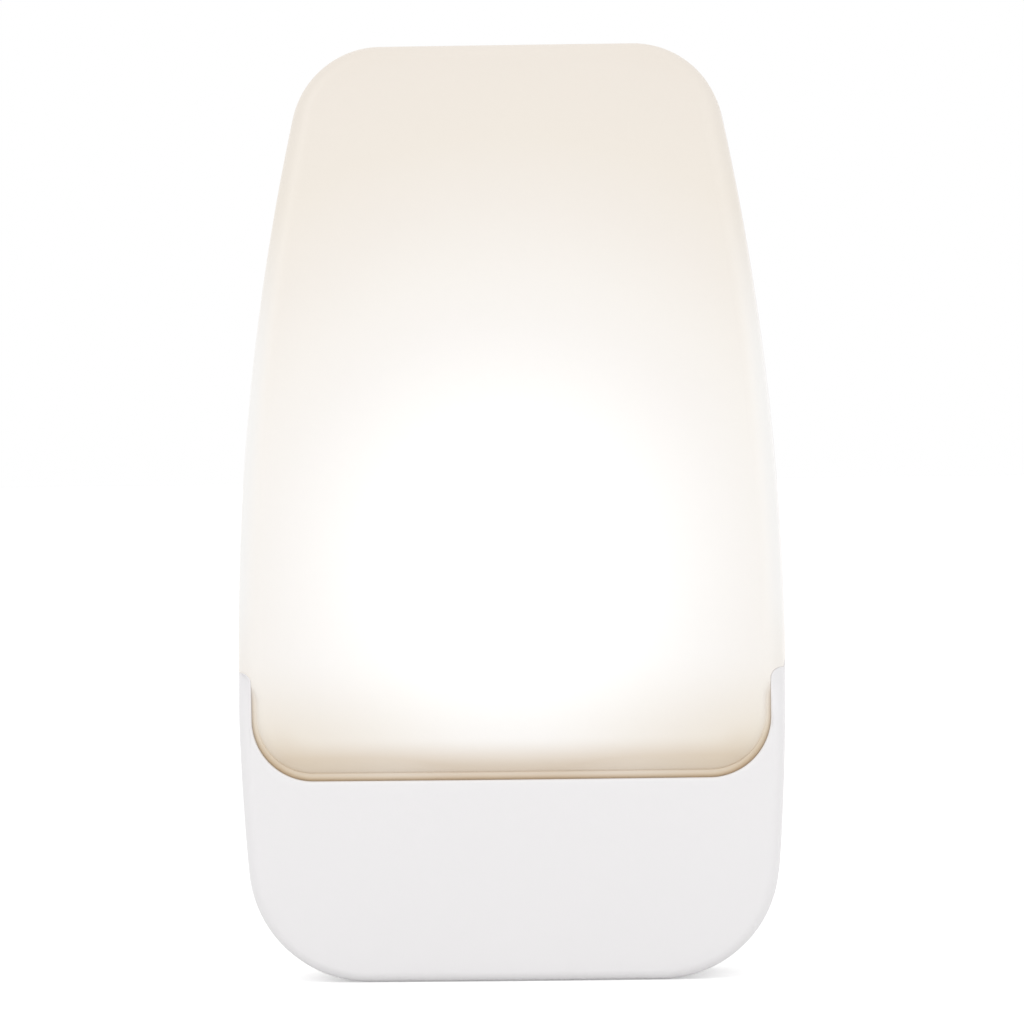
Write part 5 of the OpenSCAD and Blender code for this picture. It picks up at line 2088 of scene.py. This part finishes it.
class NIGHTLIGHT_OT_capacitors(bpy.types.Operator):
    """Builds the film capacitor and the electrolytic capacitor"""

    bl_idname = "night_light.capacitors"
    bl_label = "Capacitors"

    def execute(self, context):
        base = BOARD_FRONT + 0.3
        stations = (
            (0.9, 0.35), (0.7, 0.3), (0.55, 0.06), (0.4, 0), (0.18, 0.04), (0.05, 0.18), (0, 0.4), (0, 1.0),
            (0.1, 1.08), (0.1, 1.2), (0, 1.28), (0.06, 6), (0.1, 10.8), (0.16, 11.14), (0.32, 11.38),
            (0.6, 11.5),
        )

        def outline(inset):
            return round_box(13 - 2 * inset, 5.5 - 2 * inset, max(0.7 - 0.4 * inset, 0.3), FILM_AT)

        mesh = lofted(outline, stations, base)
        piece("film_body", mesh, "capacitor_box", ["film_capacitor"], "capacitor_box")
        sleeve = [
            (0, 0.12), (3.0, 0.12), (3.15, 0.0), (3.5, 0.0), (3.85, 0.15), (4, 0.5), (4, 1.3),
            (3.93, 1.45), (3.76, 1.62), (3.7, 1.8), (3.76, 1.98), (3.93, 2.15), (4, 2.3),
            (4, 11), (3.9, 11.3), (3.65, 11.48), (3.4, 11.5), (3.25, 11.4), (3.2, 11.2), (0, 11.2),
        ]
        at = ELECTROLYTIC_AT[0], -base, ELECTROLYTIC_AT[1]
        mesh, nodes = turned_mesh([(sleeve, at, BACK_TO_FRONT)], 64), ["electrolytic_capacitor"]
        piece("electrolytic_sleeve", mesh, "capacitor_sleeve", nodes, "capacitor_sleeve")
        self.can_top(at)
        places = pair(FILM_AT, FILM_SPAN) + pair(ELECTROLYTIC_AT, ELECTROLYTIC_SPAN)
        leads("capacitor_leads", drops(places, base + 0.3))
        return {"FINISHED"}

    @staticmethod
    def can_top(at):
        """The can's aluminium top, with three vent grooves."""
        face = 11.36
        disc = [(0, 11.15), (3.22, 11.15), (3.22, 11.32), (3.1, face), (0, face)]
        obj = linked("can_top", turned_mesh([(disc, at, BACK_TO_FRONT)], 64))
        for i in range(3):
            groove = bevelled_box((-0.1, -0.1, -0.12), (2.5, 0.1, 0.12), 0.03, 1)
            turn = Matrix.Rotation(math.radians(90 + 120 * i), 4, "Y")
            groove.transform(Matrix.Translation(Vector((at[0], at[1] - face, at[2])) * MM) @ turn)
            cut(obj, groove)
        smoothed(obj.data)
        finished(obj, "aluminium")


class NIGHTLIGHT_OT_axial_parts(bpy.types.Operator):
    """Builds the two resistors and the zener diode"""

    bl_idname = "night_light.axial_parts"
    bl_label = "Resistors and diode"

    def execute(self, context):
        lines = []
        # node, material, place, length, waist and end diameters, lead span
        for node, material, at, long, waist, end, span in (
            ("fusible_resistor", "fusible_coating", FUSIBLE_AT, FUSIBLE_LONG, 2.1, 2.5, FUSIBLE_SPAN),
            ("bleeder_resistor", "resistor_coating", BLEEDER_AT, BLEEDER_LONG, 1.5, 1.8, BLEEDER_SPAN),
            ("zener_diode", "diode_glass", ZENER_AT, ZENER_LONG, 2.0, 2.0, ZENER_SPAN),
        ):
            depth = BOARD_FRONT + end / 2 + 0.4
            body = self.dog_bone(long, waist / 2, end / 2), (at[0], -depth, at[1]), (1, 0, 0)
            piece(node + "_body", turned_mesh([body], 40), material, [node], material)
            lines += bent_leads(at, span, long, depth)
        leads("axial_leads", lines)
        return {"FINISHED"}

    @staticmethod
    def dog_bone(long, waist, end):
        """A lacquered body with thicker, rounded ends, from its middle outwards."""
        half = long / 2
        shape = [(0.0, half), (0.42, half - 0.02), (0.62 * end, half - 0.07), (0.86 * end, half - 0.22)]
        shape += [(0.97 * end, half - 0.45), (end, half - 0.7), (0.985 * end, half - 0.95)]
        shape += [((end + waist) / 2, half - 1.25), (waist + 0.02, half - 1.55), (waist, half - 1.8)]
        return [(r, -x) for r, x in shape] + [(r, x) for r, x in reversed(shape)]


class NIGHTLIGHT_OT_moulded_parts(bpy.types.Operator):
    """Builds the bridge rectifier and the sensor's transistor"""

    bl_idname = "night_light.moulded_parts"
    bl_label = "Rectifier and transistor"

    def execute(self, context):
        self.rectifier(*RECTIFIER_AT)
        self.transistor(*TRANSISTOR_AT)
        return {"FINISHED"}

    @staticmethod
    def rectifier(x, z):
        """A flat body with a dimple, on four leads that step down to the board."""
        base = BOARD_FRONT + 0.2
        stations = ((0.3, 0), (0.16, 0.05), (0, 0.8), (0, 1.0), (0.14, 2.2), (0.22, 2.35), (0.36, 2.4))

        def outline(inset):
            return round_box(4.7 - 2 * inset, 3.8 - 2 * inset, 0.15, (x, z))

        dimple = [(0, 2.3), (0.45, 2.3), (0.5, 2.5), (0, 2.5)]
        dimple = turned_mesh([(dimple, (x - 1.5, -base, z + 1.1), BACK_TO_FRONT)], 24)
        mesh = smoothed(hollowed(lofted(outline, stations, base), dimple))
        piece("rectifier_body", mesh, "moulded_epoxy", ["bridge_rectifier"], "moulded_epoxy")
        # (outwards, up from the board) and the bend's radius
        line = [
            ((1.7, 1.15), 0), ((2.2, 1.15), 0.25), ((2.2, 0.25), 0.1), ((2.8, 0.25), 0.05),
            ((2.8, 0.0), 0.05), ((1.98, 0.0), 0.2), ((1.98, 0.9), 0.1), ((1.7, 0.9), 0),
        ]
        meshes = []
        for side in (-1, 1):
            lead = rounded([((-BOARD_FRONT - up, z + side * out), radius) for (out, up), radius in line])
            for middle in (x - 1.27, x + 1.27):
                meshes.append(plate([lead], middle - 0.35, middle + 0.35, 0.03, SIDEWAYS))
        piece("rectifier_leads", joined(meshes), "tinned_copper")

    @staticmethod
    def transistor(x, z):
        """A half-round body with a flat, on three leads."""
        base = BOARD_FRONT + 2
        radius, flat = 2.4, 1.3

        def outline(inset):
            r = radius - inset
            stop = math.asin((flat - inset) / r)
            turns = [math.pi - stop + (math.pi + 2 * stop) * k / 40 for k in range(41)]
            return [(x + r * math.cos(a), z + r * math.sin(a)) for a in turns]

        stations = (
            (0.25, 0), (0.08, 0.06), (0, 0.2), (0, 2.2), (0.03, 2.3), (0, 2.4),
            (0.06, 4.3), (0.14, 4.5), (0.3, 4.6),
        )
        mesh = lofted(outline, stations, base)
        piece("transistor_body", mesh, "moulded_epoxy", ["sensor_transistor"], "moulded_epoxy")
        places = [(x + i * TRANSISTOR_PITCH, z) for i in (-1, 0, 1)]
        leads("transistor_leads", drops(places, base + 0.4))


# ---------- Light sensor ----------


class NIGHTLIGHT_OT_sensor(bpy.types.Operator):
    """Builds the photocell and the window that it looks down through"""

    bl_idname = "night_light.sensor"
    bl_label = "Light sensor"

    def execute(self, context):
        settings = context.scene.night_light
        light, wall = Measured(settings.light), Measured(settings.cover).wall
        low, depth = Casing(settings).low, light.window_place
        r = light.window / 2
        lens = [
            (0, 0.3), (r * 0.3, 0.275), (r * 0.55, 0.21), (r - 0.5, 0.06), (r - 0.3, 0.04),
            (r - 0.1, 0.1), (r, 0.3), (r, wall), (r + 0.9, wall), (r + 1, wall + 0.1),
            (r + 1, wall + 0.6), (r + 0.9, wall + 0.7), (r - 0.6, wall + 0.7), (r * 0.5, wall + 0.66),
            (0, wall + 0.65),
        ]
        mesh = turned_mesh([(lens, (0, -depth, low), UPWARDS)], 72)
        piece("window_lens", mesh, "window_plastic", ["sensor_window"], "window_plastic")
        self.photocell(low + wall + 1, depth)
        return {"FINISHED"}

    @staticmethod
    def photocell(face, depth):
        """A ceramic disc on two leads that bend towards the board."""
        disc = [
            (0, 0.0), (1.4, 0.02), (2.1, 0.1), (2.4, 0.28), (2.52, 0.6), (2.55, 0.8), (2.55, 1.6),
            (2.5, 1.85), (2.3, 2.0), (0, 2.0),
        ]
        mesh = turned_mesh([(disc, (0, -depth, face), UPWARDS)], 64)
        piece("photocell_disc", mesh, "photocell_ceramic", ["photocell"], "photocell_ceramic")
        across, up = PHOTOCELL_LEADS
        lines = []
        for x in (-across, across):
            corners = [((x, -depth, face + 1.8), 0), ((x, -depth, up), 0.9), ((x, -LEAD_END, up), 0)]
            lines.append(rounded(corners, closed=False, steps=8))
        leads("photocell_leads", lines)


# ---------- Stage ----------


class NIGHTLIGHT_OT_stage(bpy.types.Operator):
    """Makes the floor, the white room, the lamps and the camera"""

    bl_idname = "night_light.stage"
    bl_label = "Stage"

    def execute(self, context):
        stage = context.scene.night_light.stage
        context.scene.view_settings.view_transform = "Standard"
        self.floor()
        self.room(context.scene, stage.world)
        # name, place and size in metres, power in watts
        self.lamp("key_light", (-0.75, -0.9, 0.75), 0.8, stage.key)
        self.lamp("fill_light", (0.9, -0.9, 0.35), 0.9, stage.fill)
        self.camera(context.scene, stage)
        return {"FINISHED"}

    @staticmethod
    def floor():
        reach, low = 4000, CASING_LOW.z / MM - 0.05
        skin = Skin()
        skin.faces.append(tuple(skin.ring([(i * reach, j * reach, low) for i, j in CORNERS])))
        obj = linked("floor", skin.mesh())
        m = Finish("pale_floor")
        seen = seen_directly(m)
        tone = m.scaled((1, 1, 1), 0.80 + 0.01 * m.noise(300, 2))
        glow = {"Emission Color": (1, 1, 1), "Emission Strength": seen * 0.45}
        obj.data.materials.append(m.done(tone, 0.7, others={"Specular IOR Level": 0.2, **glow}))

    @staticmethod
    def room(scene, strength):
        world = bpy.data.worlds.new("white_room")
        world.use_nodes = True
        world.node_tree.nodes.clear()
        g = Graph(world.node_tree)
        light = {"Color": (1, 1, 1), "Strength": strength + (1 - strength) * seen_directly(g)}
        g.add("ShaderNodeOutputWorld", {"Surface": g.add("ShaderNodeBackground", light).outputs[0]})
        scene.world = world

    @staticmethod
    def lamp(name, place, size, power):
        data = bpy.data.lights.new(name, "AREA")
        data.shape = "SQUARE"
        data.size = size
        data.energy = power
        obj = linked(name, data)
        obj.location = place
        middle = Vector((0, 0, 0.03))
        obj.rotation_euler = (middle - Vector(place)).to_track_quat("-Z", "Y").to_euler()

    @staticmethod
    def camera(scene, stage):
        data = bpy.data.cameras.new("camera")
        data.lens = stage.lens
        data.sensor_width = 36
        data.clip_start = 0.01
        obj = linked("camera", data)
        aim, level_share = Vector(stage.aim), math.cos(stage.rise)
        back = math.sin(stage.yaw) * level_share, -math.cos(stage.yaw) * level_share, math.sin(stage.rise)
        turn = (-Vector(back)).to_track_quat("-Z", "Y").to_matrix().to_4x4()
        place = Matrix.Translation(aim + Vector(back) * (stage.distance + aim.y))
        obj.matrix_world = place @ turn @ Matrix.Rotation(stage.roll, 4, "Z")
        scene.camera = obj


def seen_directly(graph):
    """1 for rays from the camera, from a mirror or through glass."""
    rays = graph.add("ShaderNodeLightPath").outputs
    kinds = ("Is Camera Ray", "Is Glossy Ray", "Is Transmission Ray")
    camera, glossy, through = (Value(graph, rays[kind]) for kind in kinds)
    return camera.most(glossy).most(through)


# ---------- Panel ----------


class NIGHTLIGHT_PT_panel(bpy.types.Panel):
    """Lists the pieces and their settings"""

    bl_idname = "NIGHTLIGHT_PT_panel"
    bl_label = "Night light"
    bl_space_type = "VIEW_3D"
    bl_region_type = "UI"
    bl_category = "Night light"

    def draw(self, context):
        settings = context.scene.night_light
        for operator in OPERATORS:
            self.layout.operator(operator.bl_idname)
        for group in SETTING_GROUPS:
            box = self.layout.box()
            box.label(text=group.capitalize())
            values = getattr(settings, group)
            for name in values.bl_rna.properties.keys():
                if name not in ("rna_type", "name"):
                    box.prop(values, name)


OPERATORS = (
    NIGHTLIGHT_OT_finishes, NIGHTLIGHT_OT_front_cover, NIGHTLIGHT_OT_diffuser,
    NIGHTLIGHT_OT_rear_housing, NIGHTLIGHT_OT_blades, NIGHTLIGHT_OT_blade_retainer,
    NIGHTLIGHT_OT_wires, NIGHTLIGHT_OT_screws, NIGHTLIGHT_OT_reflector,
    NIGHTLIGHT_OT_light_source, NIGHTLIGHT_OT_circuit_board, NIGHTLIGHT_OT_chip_resistors,
    NIGHTLIGHT_OT_capacitors, NIGHTLIGHT_OT_axial_parts, NIGHTLIGHT_OT_moulded_parts,
    NIGHTLIGHT_OT_sensor, NIGHTLIGHT_OT_stage,
)
SETTING_GROUPS = ("casing", "cover", "diffuser", "housing", "plug", "light", "finishes", "stage")
CLASSES = (
    CasingSizes, CoverSizes, DiffuserSizes, HousingSizes, PlugSizes, LightSizes, Finishes,
    StageSettings, NightLightSettings, *OPERATORS, NIGHTLIGHT_PT_panel,
)


def register():
    for item in CLASSES:
        bpy.utils.register_class(item)
    bpy.types.Scene.night_light = PointerProperty(type=NightLightSettings)


def unregister():
    del bpy.types.Scene.night_light
    for item in reversed(CLASSES):
        bpy.utils.unregister_class(item)


def main():
    register()
    for operator in OPERATORS:
        getattr(bpy.ops.night_light, operator.bl_idname.split(".")[1])()
    bpy.context.view_layer.update()


if __name__ == "__main__":
    main()
